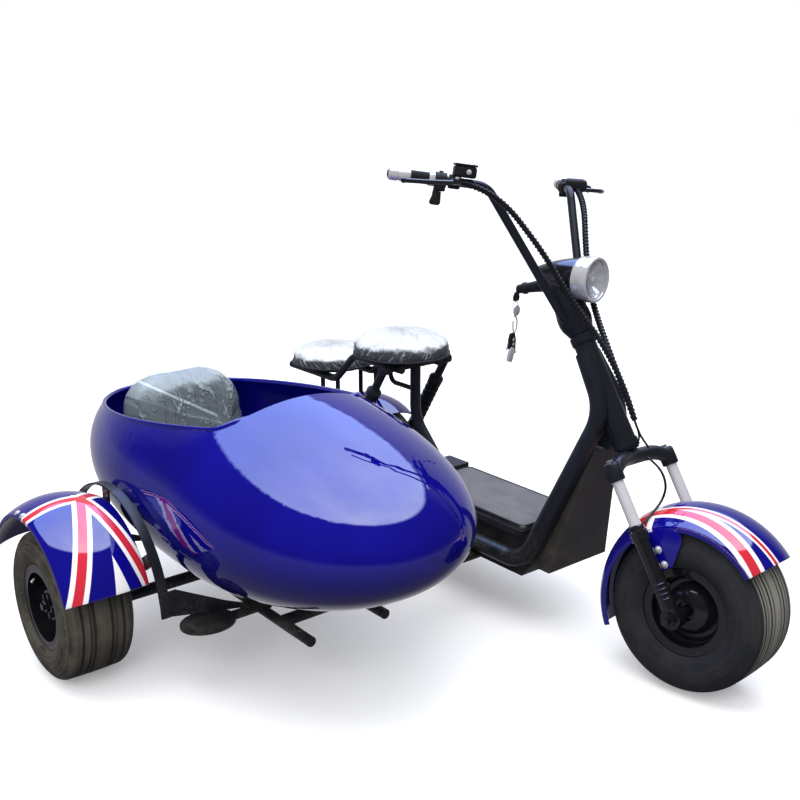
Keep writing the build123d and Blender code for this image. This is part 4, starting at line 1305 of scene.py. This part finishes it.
@dataclass
class KeyBunch:
    """Ignition key with its ring, round tag, clip and fobs, hanging below the switch barrel."""

    barrel_end: Triple = (0.746, 0.0, 0.955)
    key_drop: float = 0.014

    def build(self) -> None:
        """Makes the bunch."""
        face = LAYOUT.turn_matrix @ Matrix.Translation(
            Vector(self.barrel_end) + Vector((-0.003, 0.0, -self.key_drop)))
        steel, black = Form(), Form()
        flat = facing_ahead(Vector())

        def at(y: float, z: float, turn: float = 0.0, x: float = 0.0) -> Matrix:
            """Frame in the bunch's plane, z to the front."""
            return face @ shift(x, y, z) @ flat @ Matrix.Rotation(turn, 4, "Z")

        steel.block((0.010, 0.024, 0.0024), at(0.0, 0.003), 0.0008)
        black.plate([(-0.012, -0.012), (0.012, -0.012), (0.014, 0.000), (0.008, 0.013), (-0.008, 0.013),
                     (-0.014, 0.000)], 0.005,
                    at(0.0, -0.008, 0.0, -0.0025), 0.001)
        steel.pipe([at(0.0, -0.034) @ point for point in circle(0.013, 12)], 0.0012, True)
        steel.lathe([(0.0, 0.0018), (0.0135, 0.0018), (0.0155, 0.0010), (0.0155, -0.0010), (0.0135, -0.0018),
                     (0.0, -0.0018)],
                    at(0.004, -0.048, 0.0, 0.003), 36)
        clip = [at(0.006, -0.088) @ Vector(point) for point in (
            (-0.008, 0.024, 0.0), (0.009, 0.022, 0.0), (0.010, -0.022, 0.0), (-0.009, -0.024, 0.0),
            (-0.010, 0.010, 0.0))]
        steel.pipe(clip, 0.0024)
        steel.rod(at(0.006, -0.116) @ Vector((0, 0, -0.002)), at(0.006, -0.112) @ Vector((0, 0, 0.002)),
                  0.004)
        fob = [(-0.013, -0.024), (0.013, -0.024), (0.015, 0.004), (0.008, 0.025), (-0.008, 0.025),
               (-0.015, 0.004)]
        black.plate(fob, 0.011, at(0.0, -0.138, 0.10, -0.006), 0.003)
        steel.plate([(x * 0.85, y * 0.9) for x, y in fob], 0.009, at(-0.006, -0.176, -0.22, -0.001), 0.003)
        for spot in ((0.0, -0.132), (0.001, -0.146)):
            steel.dome(at(spot[0], spot[1], 0.10, 0.005), 0.0038, 0.0014)
        steel.block((0.008, 0.034, 0.0022), at(0.013, -0.158, 0.25, 0.002), 0.0006)
        steel.block((0.007, 0.030, 0.0020), at(-0.014, -0.150, -0.3, -0.004), 0.0006)
        black.object("key_fobs", Palette.PLASTIC, Body.STEERING, "black_plastic")
        steel.object("key_bunch", Palette.CHROME, Body.STEERING, "key_steel", ["key_set"])


@dataclass
class Cable:
    """Round cord that rides on the steering between two fixed ends."""

    name: str
    points: list[Vector]
    radius: float
    nodes: Sequence[str] = ()
    fineness: int = 40

    def wound(self, line: Sequence[Vector]) -> list[bpy.types.Object]:
        """Pieces wound round the cord's line; a bare cord has none."""
        return []

    def build(self) -> None:
        """Makes the cord and what is wound round it."""
        curve = smooth_curve(self.name, self.points, self.radius)
        curve.materials.append(Palette.CABLE.material())
        core = set_piece(bpy.data.objects.new(self.name, curve), Body.STEERING, self.nodes)
        line = line_points(self.points, self.fineness)
        length = line_length(line)
        tuple(line[0])
        2 * self.radius
        self.wound(line)
        LOG.info("%s is %.3f m long", self.name, length)


@dataclass
class Loom(Cable):
    """Cable bundle with a spiral wrap, hanging from a control to the front of the head tube."""

    radius: float = 0.0072
    fineness: int = 150
    wrap_radius: float = 0.0021
    pitch: float = 0.0115

    def wound(self, line: Sequence[Vector]) -> list[bpy.types.Object]:
        """The bundle's spiral wrap."""
        spiral = Form().pipe(self.helix(line), self.wrap_radius, kind="POLY")
        return [spiral.object(self.name + "_wrap", Palette.CABLE, Body.STEERING, "rubber", sharp=80.0)]

    def helix(self, line: Sequence[Vector]) -> list[Vector]:
        """Points of the spiral round a line."""
        turn = 0.0
        side = (line[1] - line[0]).orthogonal().normalized()
        spiral = []
        for start, end in zip(line, line[1:]):
            ahead = (end - start).normalized()
            side = (side - ahead * side.dot(ahead)).normalized()
            out = side * math.cos(turn) + ahead.cross(side) * math.sin(turn)
            spiral.append(start + out * (self.radius + 0.0004))
            turn += math.tau * (end - start).length / self.pitch
        return spiral


@dataclass
class Cabling:
    """Both looms, the cables that go on from them and the front brake's hose."""

    def fore(self, x: float, y: float, z: float) -> Vector:
        """Place at rest of a front-end point measured from the front axle's rest height."""
        return LAYOUT.turn_matrix @ Vector((LAYOUT.wheelbase + x, y, LAYOUT.tyre_radius + z))

    def steer(self, x: float, y: float, z: float) -> Vector:
        """Place of a point in the steering's frame."""
        return LAYOUT.steer_matrix @ Vector((x, y, z))

    def build(self) -> None:
        """Makes every cable."""
        frames = GripFrame()
        root = Vector((0.030, 0.0, -0.1772))
        right = [frames.place(-1.0) @ root, self.fore(-0.626, -0.214, 1.020),
                 self.fore(-0.515, -0.132, 0.873), self.steer(0.052, -0.076, 0.900),
                 self.steer(0.116, -0.074, 0.640), self.steer(0.092, -0.068, 0.502)]
        left = [frames.place(1.0) @ root, self.fore(-0.612, 0.200, 1.006), self.fore(-0.540, 0.122, 0.873),
                self.steer(0.040, 0.052, 0.872), self.steer(0.092, -0.054, 0.654),
                self.steer(0.080, -0.046, 0.502)]
        Loom("right_loom", right, nodes=["cable_looms"]).build()
        Loom("left_loom", left).build()
        Cable("speed_cable", [
            right[-1], self.steer(0.084, -0.058, 0.468), self.steer(0.066, -0.020, 0.446),
            self.steer(0.040, 0.034, 0.428)], 0.0032).build()
        Cable("horn_cable", [
            left[-1], self.steer(0.074, -0.040, 0.470), self.steer(0.058, -0.030, 0.448),
            self.steer(0.030, -0.026, 0.430)], 0.0026).build()
        Cable("brake_hose", [
            self.steer(0.036, 0.014, 0.404), self.steer(0.062, 0.010, 0.372), self.steer(0.068, 0.000, 0.318),
            self.steer(0.046, -0.014, 0.284), self.steer(0.036, -0.060, 0.264),
            self.steer(0.024, -0.106, 0.246)], 0.0034).build()


@dataclass
class ForkTrim:
    """Rounded crown bridge of the fork, with the collars, ribs and nuts that finish its legs."""

    leg_offset: float = 0.021
    leg_out: float = 0.142
    slider_top: float = 0.232
    slider_radius: float = 0.020

    def build(self) -> None:
        """Makes the trim of both legs."""
        black, bright = Form(), Form()
        for side in SIDES:
            leg = LAYOUT.steer_matrix @ shift(self.leg_offset, self.leg_out * side, 0.0)
            top = self.slider_top
            black.lathe([(0.0157, top + 0.016), (0.0178, top + 0.0155), (0.0205, top + 0.010),
                         (0.0215, top + 0.0005), (0.0157, top + 0.0005)], leg, 40)
            for ring in range(4):
                low = 0.046 + 0.013 * ring
                black.lathe([(self.slider_radius - 0.0003, low), (self.slider_radius + 0.0016, low + 0.002),
                             (self.slider_radius + 0.0016, low + 0.005),
                             (self.slider_radius - 0.0003, low + 0.007)], leg, 40)
            cap = leg @ shift(0.0, 0.0, 0.4142)
            black.lathe([(0.0, 0.006), (0.009, 0.0058), (0.0175, 0.0040), (0.0205, 0.0012), (0.0205, 0.0),
                         (0.0, 0.0)],
                        cap, 36)
            bright.hexagon(cap @ shift(0.0, 0.0, 0.0056), 0.016, 0.006)
        black.object("fork_collars", Palette.ALLOY, Body.STEERING, "black_alloy")
        self.bridge()
        bright.object("fork_top_nuts", Palette.STEEL, Body.STEERING, "steel")

    def bridge(self) -> None:
        """Makes the crown: one thick rounded arch between two round bosses."""
        steer = LAYOUT.steer_matrix
        half = [(0.021, 0.142, 0.390), (0.021, 0.124, 0.402), (0.016, 0.088, 0.416), (0.006, 0.044, 0.4195)]
        line = [(x, -y, z) for x, y, z in half] + [(0.002, 0.0, 0.4195)] + half[::-1]
        form = Form().pipe([steer @ Vector(point) for point in line], 0.0205)
        for side in SIDES:
            boss = steer @ shift(self.leg_offset, self.leg_out * side, 0.0)
            form.lathe([(0.0157, 0.368), (0.0205, 0.368), (0.0228, 0.371), (0.0232, 0.390), (0.0228, 0.409),
                        (0.0205, 0.4138), (0.0, 0.4140)], boss, 40)
        form.object("fork_bridge", Palette.FRAME, Body.STEERING, "black_paint", ["fork_crown"], 60.0)


@dataclass
class Neck:
    """Black cowl over the bar clamp, seam rings on the head tube and the grained foot mat with its edge."""

    cowl: tuple[Pair, ...] = (
        (0.0, 0.7836), (0.0330, 0.7836), (0.0360, 0.7920), (0.0435, 0.8060), (0.0472, 0.8220),
        (0.0470, 0.8420), (0.0430, 0.8700), (0.0400, 0.9050), (0.0360, 0.9340), (0.0200, 0.9540),
        (0.0, 0.9580))
    head_radius: float = 0.0311
    seams: tuple[float, ...] = (0.452, 0.470, 0.754, 0.770)

    def build(self) -> None:
        """Makes the cowl, the rings and the mat."""
        steer = LAYOUT.steer_matrix
        Form().lathe(self.cowl, steer, 48).object(
            "stem_cowl", Palette.FRAME, Body.STEERING, "black_paint", ["bar_clamp"], 60.0)
        rings = Form()
        for height in self.seams:
            inner, outer = self.head_radius - 0.001, self.head_radius + 0.0012
            rings.lathe([(inner, height - 0.0030), (outer, height - 0.0018), (outer, height + 0.0018),
                         (inner, height + 0.0030)],
                         steer, 48)
        rings.object("head_tube_rings", Palette.FRAME, Body.CHASSIS, "black_paint")
        self.mat()

    def mat(self) -> None:
        """Makes the foot mat as one grained slab inside a rounded border."""
        low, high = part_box("foot_mat")
        middle, size = (low + high) / 2, high - low
        Form().block((size.x - 0.004, size.y - 0.004, size.z), Matrix.Translation(middle),
                     min(0.002, size.z * 0.3)).object(
            "mat_slab", Palette.MAT, Body.CHASSIS, "mat_rubber", ["foot_mat"])
        thick = max(0.0030, size.z * 0.45)
        corner, reach = 0.018, (size.x / 2 - thick, size.y / 2 - thick)
        line = []
        for quarter, (east, north) in enumerate(((1, 1), (-1, 1), (-1, -1), (1, -1))):
            for step in range(5):
                turn = math.pi / 2 * (quarter + step / 4)
                line.append(Vector((middle.x + east * (reach[0] - corner) + corner * math.cos(turn),
                                    middle.y + north * (reach[1] - corner) + corner * math.sin(turn),
                                    high.z - thick * 0.6)))
        Form().pipe(line, thick, True, kind="POLY").object("mat_border", Palette.RUBBER, Body.CHASSIS,
                                                           "mat_rubber", sharp=80.0)


@dataclass
class PodRim:
    """Rolled lip along the edge of the sidecar's cockpit."""

    across: float = -0.721
    middle: Pair = (0.599, 0.4705)
    half_width: float = 0.3715
    half_height: float = 0.2845
    front: float = 0.5955
    rear: float = 0.9075
    droop: float = 0.011
    width_power: Pair = (2.65, 2.54)
    height_power: Pair = (2.98, 1.25)
    wall: float = 0.009
    lip: float = 0.0075
    bowl_arc: tuple[Pair, ...] = ((-0.420, 0.562), (0.150, 0.622), (0.604, 0.686))
    hood_arc: tuple[Pair, ...] = ((0.604, 0.686), (0.646, 0.706), (0.664, 0.780))
    stations: tuple[float, ...] = (
        -0.215, -0.140, -0.050, 0.060, 0.180, 0.300, 0.420, 0.520, 0.580, 0.606, 0.626, 0.642, 0.652)

    def sizes(self, x: float) -> Triple:
        """Half width, half height and middle height of the pod's section at a station."""
        ahead = x > self.middle[0]
        share = abs(x - self.middle[0]) / (self.front if ahead else self.rear)
        wide = self.half_width * math.sqrt(max(0.0, 1 - share ** self.width_power[ahead]))
        high = self.half_height * math.sqrt(max(0.0, 1 - share ** self.height_power[ahead]))
        return wide, high, self.middle[1] - (self.droop * share ** 2 if ahead else 0.0)

    @staticmethod
    def arc_height(first: Pair, through: Pair, last: Pair, x: float, below: bool) -> float:
        """Height at a station of the circle through three points of (x, z)."""
        (ax, az), (bx, bz), (cx, cz) = first, through, last
        scale = 2 * (ax * (bz - cz) + bx * (cz - az) + cx * (az - bz))
        a, b, c = ax * ax + az * az, bx * bx + bz * bz, cx * cx + cz * cz
        mid = ((a * (bz - cz) + b * (cz - az) + c * (az - bz)) / scale,
               (a * (cx - bx) + b * (ax - cx) + c * (bx - ax)) / scale)
        radius = math.hypot(ax - mid[0], az - mid[1])
        rise = math.sqrt(max(0.0, radius ** 2 - (x - mid[0]) ** 2))
        return mid[1] - rise if below else mid[1] + rise

    def edge_height(self, x: float) -> float:
        """Height of the cockpit's edge at a station."""
        arc = self.hood_arc if x >= self.hood_arc[0][0] else self.bowl_arc
        return self.arc_height(*arc, x, self._sagging(*arc))

    @staticmethod
    def _sagging(first: Pair, through: Pair, last: Pair) -> bool:
        """Whether an arc passes under its chord."""
        share = (through[0] - first[0]) / (last[0] - first[0])
        return through[1] < first[1] + share * (last[1] - first[1])

    def rear_end(self) -> float:
        """Station at which the pod's back rises to the cockpit's edge."""
        outside, inside = self.middle[0] - self.rear, self.stations[1]
        for _ in range(40):
            x = (outside + inside) / 2
            _, high, middle = self.sizes(x)
            outside, inside = (outside, x) if middle + high > self.edge_height(x) else (x, inside)
        return inside

    def edge_points(self) -> list[Vector]:
        """Points round the opening, from the rear along the right, over the hood and back along the left."""
        back = self.rear_end()
        near, far = [], []
        for x in (back, back + 0.004, back + 0.016, *self.stations):
            wide, high, middle = self.sizes(x)
            z = self.edge_height(x)
            reach = max(0.0, 1 - ((z - middle) / high) ** 2)
            y = (wide - self.wall / 2) * math.sqrt(reach)
            near.append(LAYOUT.at(x, self.across - y, z))
            far.append(LAYOUT.at(x, self.across + y, z))
        return near + far[:0:-1]

    def build(self) -> None:
        """Makes the lip."""
        form = Form().pipe(self.edge_points(), self.lip, True, 12)
        form.object("cockpit_lip", Palette.BLUE, Body.CHASSIS, "blue_gloss", sharp=80.0)


@dataclass
class Pad:
    """Padded leather piece, blown up by cloth pressure from a shrunken copy of its solid."""

    name: str
    node: str
    fill: float
    inset: float = 0.006
    voxel: float = 0.006
    rounding: int = 6
    pressure: float = 4.0
    cap: float = 0.010
    taut: int = 8
    frames: int = 20
    held_height: float = 0.012

    def blank(self) -> bpy.types.Object:
        """Shrunken, remeshed and rounded copy of the solid."""
        part = bmesh.new()
        part.from_mesh(frame["nodes"][self.node].data)
        bmesh.ops.remove_doubles(part, verts=part.verts, dist=1e-5)
        low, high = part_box(self.node)
        middle, size = (low + high) / 2, high - low
        shrink = Vector(((length - 2 * self.inset) / length for length in size))
        bmesh.ops.scale(part, vec=shrink, verts=part.verts, space=Matrix.Translation(-middle))
        mesh = bpy.data.meshes.new(self.name)
        part.to_mesh(mesh)
        part.free()
        piece = bpy.data.objects.new(self.name, mesh)
        bpy.context.scene.collection.objects.link(piece)
        remesh = piece.modifiers.new("remesh", "REMESH")
        remesh.mode = "VOXEL"
        remesh.voxel_size = self.voxel
        self.settle(piece)
        self.calm(piece, self.rounding)
        return piece

    @staticmethod
    def calm(piece: bpy.types.Object, passes: int) -> None:
        """Smooths a piece's skin by a number of passes."""
        part = bmesh.new()
        part.from_mesh(piece.data)
        for _ in range(passes):
            bmesh.ops.smooth_vert(part, verts=part.verts, factor=0.5, use_axis_x=True, use_axis_y=True,
                                  use_axis_z=True)
        part.to_mesh(piece.data)
        part.free()

    @staticmethod
    def settle(piece: bpy.types.Object) -> None:
        """Applies a piece's modifiers as they stand in this frame."""
        made = bpy.data.meshes.new_from_object(piece.evaluated_get(bpy.context.evaluated_depsgraph_get()))
        piece.modifiers.clear()
        piece.data = made

    def swell(self, piece: bpy.types.Object) -> None:
        """Blows the blank up, its underside held, and caps how far a point moves."""
        rest = [vertex.co.copy() for vertex in piece.data.vertices]
        base = min(place.z for place in rest) + self.held_height
        held = piece.vertex_groups.new(name="held")
        held.add([index for index, place in enumerate(rest) if place.z < base], 1.0, "REPLACE")
        cloth = piece.modifiers.new("cloth", "CLOTH")
        cloth.settings.use_pressure = True
        cloth.settings.uniform_pressure_force = self.pressure
        cloth.settings.effector_weights.gravity = 0.0
        cloth.settings.vertex_group_mass = "held"
        cloth.point_cache.frame_end = self.frames
        for step in range(1, self.frames + 1):
            bpy.context.scene.frame_set(step)
        self.settle(piece)
        bpy.context.scene.frame_set(1)
        for vertex, start in zip(piece.data.vertices, rest):
            move = vertex.co - start
            if move.length > self.cap:
                vertex.co = start + move * (self.cap / move.length)
        self.calm(piece, self.taut)

    def build(self) -> bpy.types.Object:
        """Makes the pad."""
        piece = self.blank()
        self.swell(piece)
        piece.data.materials.clear()
        piece.data.materials.append(Palette.HIDE.material())
        piece.data.shade_smooth()
        smooth = piece.modifiers.new("smooth", "SUBSURF")
        smooth.levels = smooth.render_levels = 1
        set_piece(piece, Body.CHASSIS, [self.node])
        return piece


@dataclass
class Film:
    """Clear wrinkled film drawn over a pad."""

    name: str
    pad: bpy.types.Object
    node: str
    finish: Finish
    reach: float
    lift: float = 0.0030
    fold: float = 0.0022
    scale: float = 16.0
    loose: float = 0.0
    upright: bool = False
    cover_share: float = 0.8

    def crease(self, place: Vector, middle: Vector) -> float:
        """Height of the film's folds at a place, 0 to 1."""
        offset = place - middle
        around = math.atan2(offset.y, offset.x)
        fan = Vector((around * 0.16 + offset.z * 0.25, offset.z * 0.3,
                      offset.to_2d().length * 0.35)) * self.scale
        if self.upright:
            fan = Vector((offset.z + offset.y * 0.38, offset.y * 0.2, offset.x * 0.3)) * self.scale
        wide = 1 - abs(noise.noise(fan)) * 2.4
        fine = 1 - abs(noise.noise(fan * 2.6 + Vector((3.0, 1.0, 2.0)))) * 2.6
        return max(0.0, wide) ** 2 * 0.65 + max(0.0, fine) ** 2 * 0.35

    def build(self) -> bpy.types.Object:
        """Makes the film from the pad's own skin."""
        part = bmesh.new()
        part.from_mesh(self.pad.data)
        base = min(corner.co.z for corner in part.verts)
        under = [face for face in part.faces if face.calc_center_median().z < base + self.reach]
        bmesh.ops.delete(part, geom=under, context="FACES")
        bmesh.ops.subdivide_edges(part, edges=part.edges[:], cuts=1, use_grid_fill=True)
        top = max(corner.co.z for corner in part.verts)
        low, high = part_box(self.node)
        middle = (low + high) / 2
        part.normal_update()
        for corner in part.verts:
            sag = (top - corner.co.z) / (top - base)
            height = self.crease(corner.co, middle)
            rise = self.lift + self.fold * height * (0.2 + 1.2 * sag) + self.loose * sag
            corner.co += corner.normal * rise
        area = sum(face.calc_area() for face in part.faces)
        mesh = bpy.data.meshes.new(self.name)
        part.to_mesh(mesh)
        part.free()
        mesh.materials.clear()
        mesh.materials.append(self.finish.material())
        mesh.shade_smooth()
        piece = set_piece(bpy.data.objects.new(self.name, mesh), Body.CHASSIS)
        side = math.sqrt(area / self.cover_share)
        return piece


@dataclass
class Seats:
    """Driver's and passenger's saddles and the sidecar's bench, as delivered under clear film."""

    def build(self) -> None:
        """Makes the pads, their piping and their film."""
        driver = Pad("driver_saddle", "driver_seat", 0.85, inset=0.003, pressure=6.0, cap=0.016).build()
        passenger = Pad("passenger_saddle", "passenger_seat", 0.85, inset=0.003, pressure=6.0,
                        cap=0.014).build()
        Pad("sidecar_bench", "sidecar_cushion", 0.8, cap=0.012).build()
        back = Pad("sidecar_back", "sidecar_backrest", 0.75, inset=0.008, rounding=34, cap=0.014).build()
        piping = Form()
        for node, radius in (("driver_seat", 0.1600), ("passenger_seat", 0.1480)):
            low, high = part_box(node)
            centre = Vector(((low.x + high.x) / 2, (low.y + high.y) / 2, low.z + 0.010))
            piping.pipe([centre + point for point in circle(radius, 24)], 0.0042, True)
        piping.object("saddle_piping", Palette.HIDE, Body.CHASSIS, "leather", sharp=80.0)
        Film("driver_film", driver, "driver_seat", Palette.DRIVER_WRAP, 0.008).build()
        Film("passenger_film", passenger, "passenger_seat", Palette.PASSENGER_WRAP, 0.008).build()
        Film("back_film", back, "sidecar_backrest", Palette.BACK_WRAP, 0.060, lift=0.0040, fold=0.0050,
             scale=9.0, loose=0.006, upright=True).build()


@dataclass
class WheelTrim:
    """Rings, covers, studs and valves of the wheels' dishes."""

    cover: tuple[Pair, ...] = ((0.0235, 0.0780), (0.0240, 0.0835), (0.0255, 0.0845), (0.0360, 0.0825),
                               (0.0460, 0.0785), (0.0550, 0.0725), (0.0620, 0.0645), (0.0665, 0.0550),
                               (0.0685, 0.0450), (0.0690, 0.0370))
    studs: int = 5
    valve_turn: float = 2.374
    well: tuple[Pair, ...] = ((0.0985, 0.0640), (0.0962, 0.0628), (0.0905, 0.0505), (0.0890, 0.0492),
                              (0.0875, 0.0490), (0.0862, 0.0478), (0.0825, 0.0400), (0.0812, 0.0388),
                              (0.0765, 0.0370), (0.0690, 0.0370))

    def dish(self, wheel: str, body: Body, name: str, stud_circle: float = 0.0, face: float = 0.0,
             domed: bool = False) -> None:
        """Dresses the right face of one wheel.

        Args:
            wheel: The wheel's joint.
            body: CAD body that the trim rides on.
            name: Start of the pieces' names.
            stud_circle: Radius of the circle of studs.
            face: Distance of the hub's face from the wheel's middle.
            domed: Sets a domed cover and a stepped well in place of the studs.
        """
        black, bright = Form(), Form()
        place = LAYOUT.wheel_matrix(wheel) @ AXLE_TURN
        flange = [(0.1030, 0.0800), (0.1085, 0.0848), (0.1150, 0.0852), (0.1165, 0.0830), (0.1150, 0.0800)]
        step = [(0.0985, 0.0560), (0.1005, 0.0600), (0.1010, 0.0640), (0.1018, 0.0650)]
        black.lathe(flange, place, 72).lathe(step, place, 72)
        if domed:
            black.lathe(self.cover, place, 72).lathe(self.well, place, 72)
        for stud in range(0 if domed else self.studs):
            turn = Matrix.Rotation(math.tau * stud / self.studs, 4, "Z")
            black.hexagon(place @ turn @ shift(stud_circle, 0.0, face), 0.015, 0.009)
        stem = place @ Matrix.Rotation(self.valve_turn, 4, "Z")
        black.rod(stem @ Vector((0.0965, 0.0, 0.0480)), stem @ Vector((0.0820, 0.0, 0.0760)), 0.0036)
        bright.rod(stem @ Vector((0.0822, 0.0, 0.0756)), stem @ Vector((0.0745, 0.0, 0.0860)), 0.0036)
        black.object(name + "_rim_rings", Palette.ALLOY, body, "black_alloy")
        bright.object(name + "_valve", Palette.CHROME, body, "steel")

    def build(self) -> None:
        """Dresses the wheels whose dishes show."""
        self.dish("front_wheel_spin", Body.FRONT_WHEEL, "front", domed=True)
        self.dish("sidecar_wheel_spin", Body.SIDECAR_WHEEL, "sidecar", stud_circle=0.028, face=0.0615)


@dataclass
class Studio:
    """Pale floor, soft lights and the camera of the photograph's view."""

    camera_place: Triple = (2.947, -2.246, 1.534)
    heading: float = math.radians(140.92)
    pitch: float = math.radians(-16.30)
    lens: float = 49.37
    sensor: float = 36.0
    floor_half: float = 30.0
    floor_colour: Colour = (0.86, 0.86, 0.86)
    floor_glow: float = 0.22
    sun_energy: float = 1.1
    sun_angle: float = 1.7
    patch_axis: Triple = (-0.266, 0.215, 0.940)
    patch_edge: Pair = (0.770, 0.800)
    patch_tints: tuple[Colour, Colour] = ((1.3, 1.8, 4.0), (5.2, 5.4, 5.8))
    far_axis: Triple = (-0.777, 0.629, 0.0)
    far_tint: Colour = (1.2, 1.2, 1.3)
    shine_stops: tuple[tuple[float, Colour], ...] = (
        (0.0, (0.12, 0.11, 0.13)), (0.49, (0.20, 0.19, 0.22)), (0.53, (0.09, 0.09, 0.11)),
        (0.58, (0.035, 0.035, 0.05)), (1.0, (0.05, 0.05, 0.08)))
    room_stops: tuple[tuple[float, Colour], ...] = (
        (0.0, (0.03, 0.03, 0.04)), (0.46, (0.06, 0.06, 0.08)), (0.56, (0.30, 0.31, 0.36)),
        (0.75, (0.85, 0.87, 0.92)), (1.0, (1.0, 1.0, 1.0)))

    def floor(self) -> None:
        """Lays the floor."""
        mesh = bpy.data.meshes.new("floor")
        grid = bmesh.new()
        bmesh.ops.create_grid(grid, x_segments=1, y_segments=1, size=self.floor_half)
        grid.to_mesh(mesh)
        grid.free()
        plane = bpy.data.objects.new("floor", mesh)
        bpy.context.scene.collection.objects.link(plane)
        graph = Graph("pale_floor")
        cloud = graph.noise(2.0, 3.0)
        shade = graph.mix(cloud, self.floor_colour, shaded(self.floor_colour, 0.97))
        mesh.materials.append(graph.done(graph.surface(
            Base_Color=shade, Roughness=0.55, Emission_Color=(1.0, 1.0, 1.0, 1.0),
            Emission_Strength=self.floor_glow)))
        plane.visible_glossy = False
        plane.visible_diffuse = False

    def lamp(self, name: str, place: Triple, aim: Triple, size: float, power: float) -> None:
        """Adds a square soft light.

        Args:
            name: Name of the light.
            place: Design point of the light.
            aim: Design point that it faces.
            size: Side of the square in metres.
            power: Power in watts.
        """
        light = bpy.data.lights.new(name, "AREA")
        light.size = size
        light.energy = power
        holder = bpy.data.objects.new(name, light)
        holder.visible_glossy = False
        bpy.context.scene.collection.objects.link(holder)
        start = LAYOUT.at(*place)
        holder.matrix_world = Matrix.Translation(start) @ (
            LAYOUT.at(*aim) - start).to_track_quat("-Z", "Y").to_matrix().to_4x4()

    def camera(self) -> None:
        """Sets the camera."""
        data = bpy.data.cameras.new("camera")
        data.sensor_fit = "HORIZONTAL"
        data.sensor_width = self.sensor
        data.lens = self.lens
        holder = bpy.data.objects.new("camera", data)
        bpy.context.scene.collection.objects.link(holder)
        gaze = Vector((
            math.cos(self.heading) * math.cos(self.pitch), math.sin(self.heading) * math.cos(self.pitch),
            math.sin(self.pitch)))
        holder.matrix_world = Matrix.Translation(LAYOUT.at(*self.camera_place)) @ gaze.to_track_quat(
            "-Z", "Y").to_matrix().to_4x4()
        bpy.context.scene.camera = holder

    def sun(self) -> None:
        """Adds a very wide, even light from straight above."""
        light = bpy.data.lights.new("ceiling", "SUN")
        light.energy = self.sun_energy
        light.angle = self.sun_angle
        holder = bpy.data.objects.new("ceiling", light)
        holder.location = LAYOUT.at(0.0, 0.0, 6.0)
        holder.visible_glossy = False
        bpy.context.scene.collection.objects.link(holder)

    def room(self) -> bpy.types.World:
        """Room light bright overhead, a cloudy patch for shiny surfaces to mirror and a white wall behind."""
        graph = Graph("studio", world=True)
        gaze = graph.node("ShaderNodeTexCoord", output="Generated")
        side, _, height = graph.split(gaze)
        rise = graph.node("ShaderNodeMapRange", values={"Value": height, "From Min": -1.0})
        overhead, dim = (graph.node("ShaderNodeValToRGB", {"stops": stops}, {0: rise})
                         for stops in (self.room_stops, self.shine_stops))
        lean = graph.node("ShaderNodeMapRange", values={"Value": side, "From Min": -0.75, "From Max": 0.35})
        sky = graph.mix(lean * graph.noise(2.4, 4.0, vector=gaze), *self.patch_tints)
        patch = graph.dot(gaze, self.patch_axis).step(*self.patch_edge)
        away = graph.dot(gaze, self.far_axis)
        glow = graph.node("ShaderNodeMapRange", values={"Value": away, "From Min": 0.45, "From Max": 1.0,
                                                        "To Max": 0.5})
        mirror = graph.mix(patch, graph.mix(glow, dim, self.far_tint), sky)
        light, shine, wall = (graph.node("ShaderNodeBackground", values={"Color": colour})
                              for colour in (overhead, mirror, (1.0, 1.0, 1.0, 1.0)))
        glossy = graph.node("ShaderNodeLightPath", output="Is Glossy Ray")
        camera = graph.node("ShaderNodeLightPath", output="Is Camera Ray")
        lit = graph.node("ShaderNodeMixShader", values={0: glossy, 1: light, 2: shine})
        return graph.done(graph.node("ShaderNodeMixShader", values={0: camera, 1: lit, 2: wall}))

    def build(self) -> None:
        """Sets the stage."""
        self.floor()
        bpy.context.scene.view_settings.view_transform = "Standard"
        bpy.context.scene.world = self.room()
        self.sun()
        self.lamp("top_softbox", (0.9, -0.9, 3.6), (0.6, -0.5, 0.4), size=2.6, power=60.0)
        self.lamp("near_softbox", (2.6, -3.4, 2.2), (0.6, -0.6, 0.5), size=2.2, power=60.0)
        self.lamp("far_softbox", (-2.4, 2.6, 2.4), (0.6, -0.4, 0.6), size=2.4, power=40.0)
        self.camera()


def main() -> None:
    """Builds every piece in order and reports it."""
    logging.basicConfig(level=logging.INFO, format="%(name)s: %(message)s")
    dress_frame()
    for piece in (Mudguards(), Controls(), Headlamp(), KeyBunch(), Cabling(), ForkTrim(), Neck(), PodRim(),
                  WheelTrim(), Seats()):
        piece.build()
        LOG.info("%s done", type(piece).__name__)
    Studio().build()


if __name__ == "__main__":
    main()
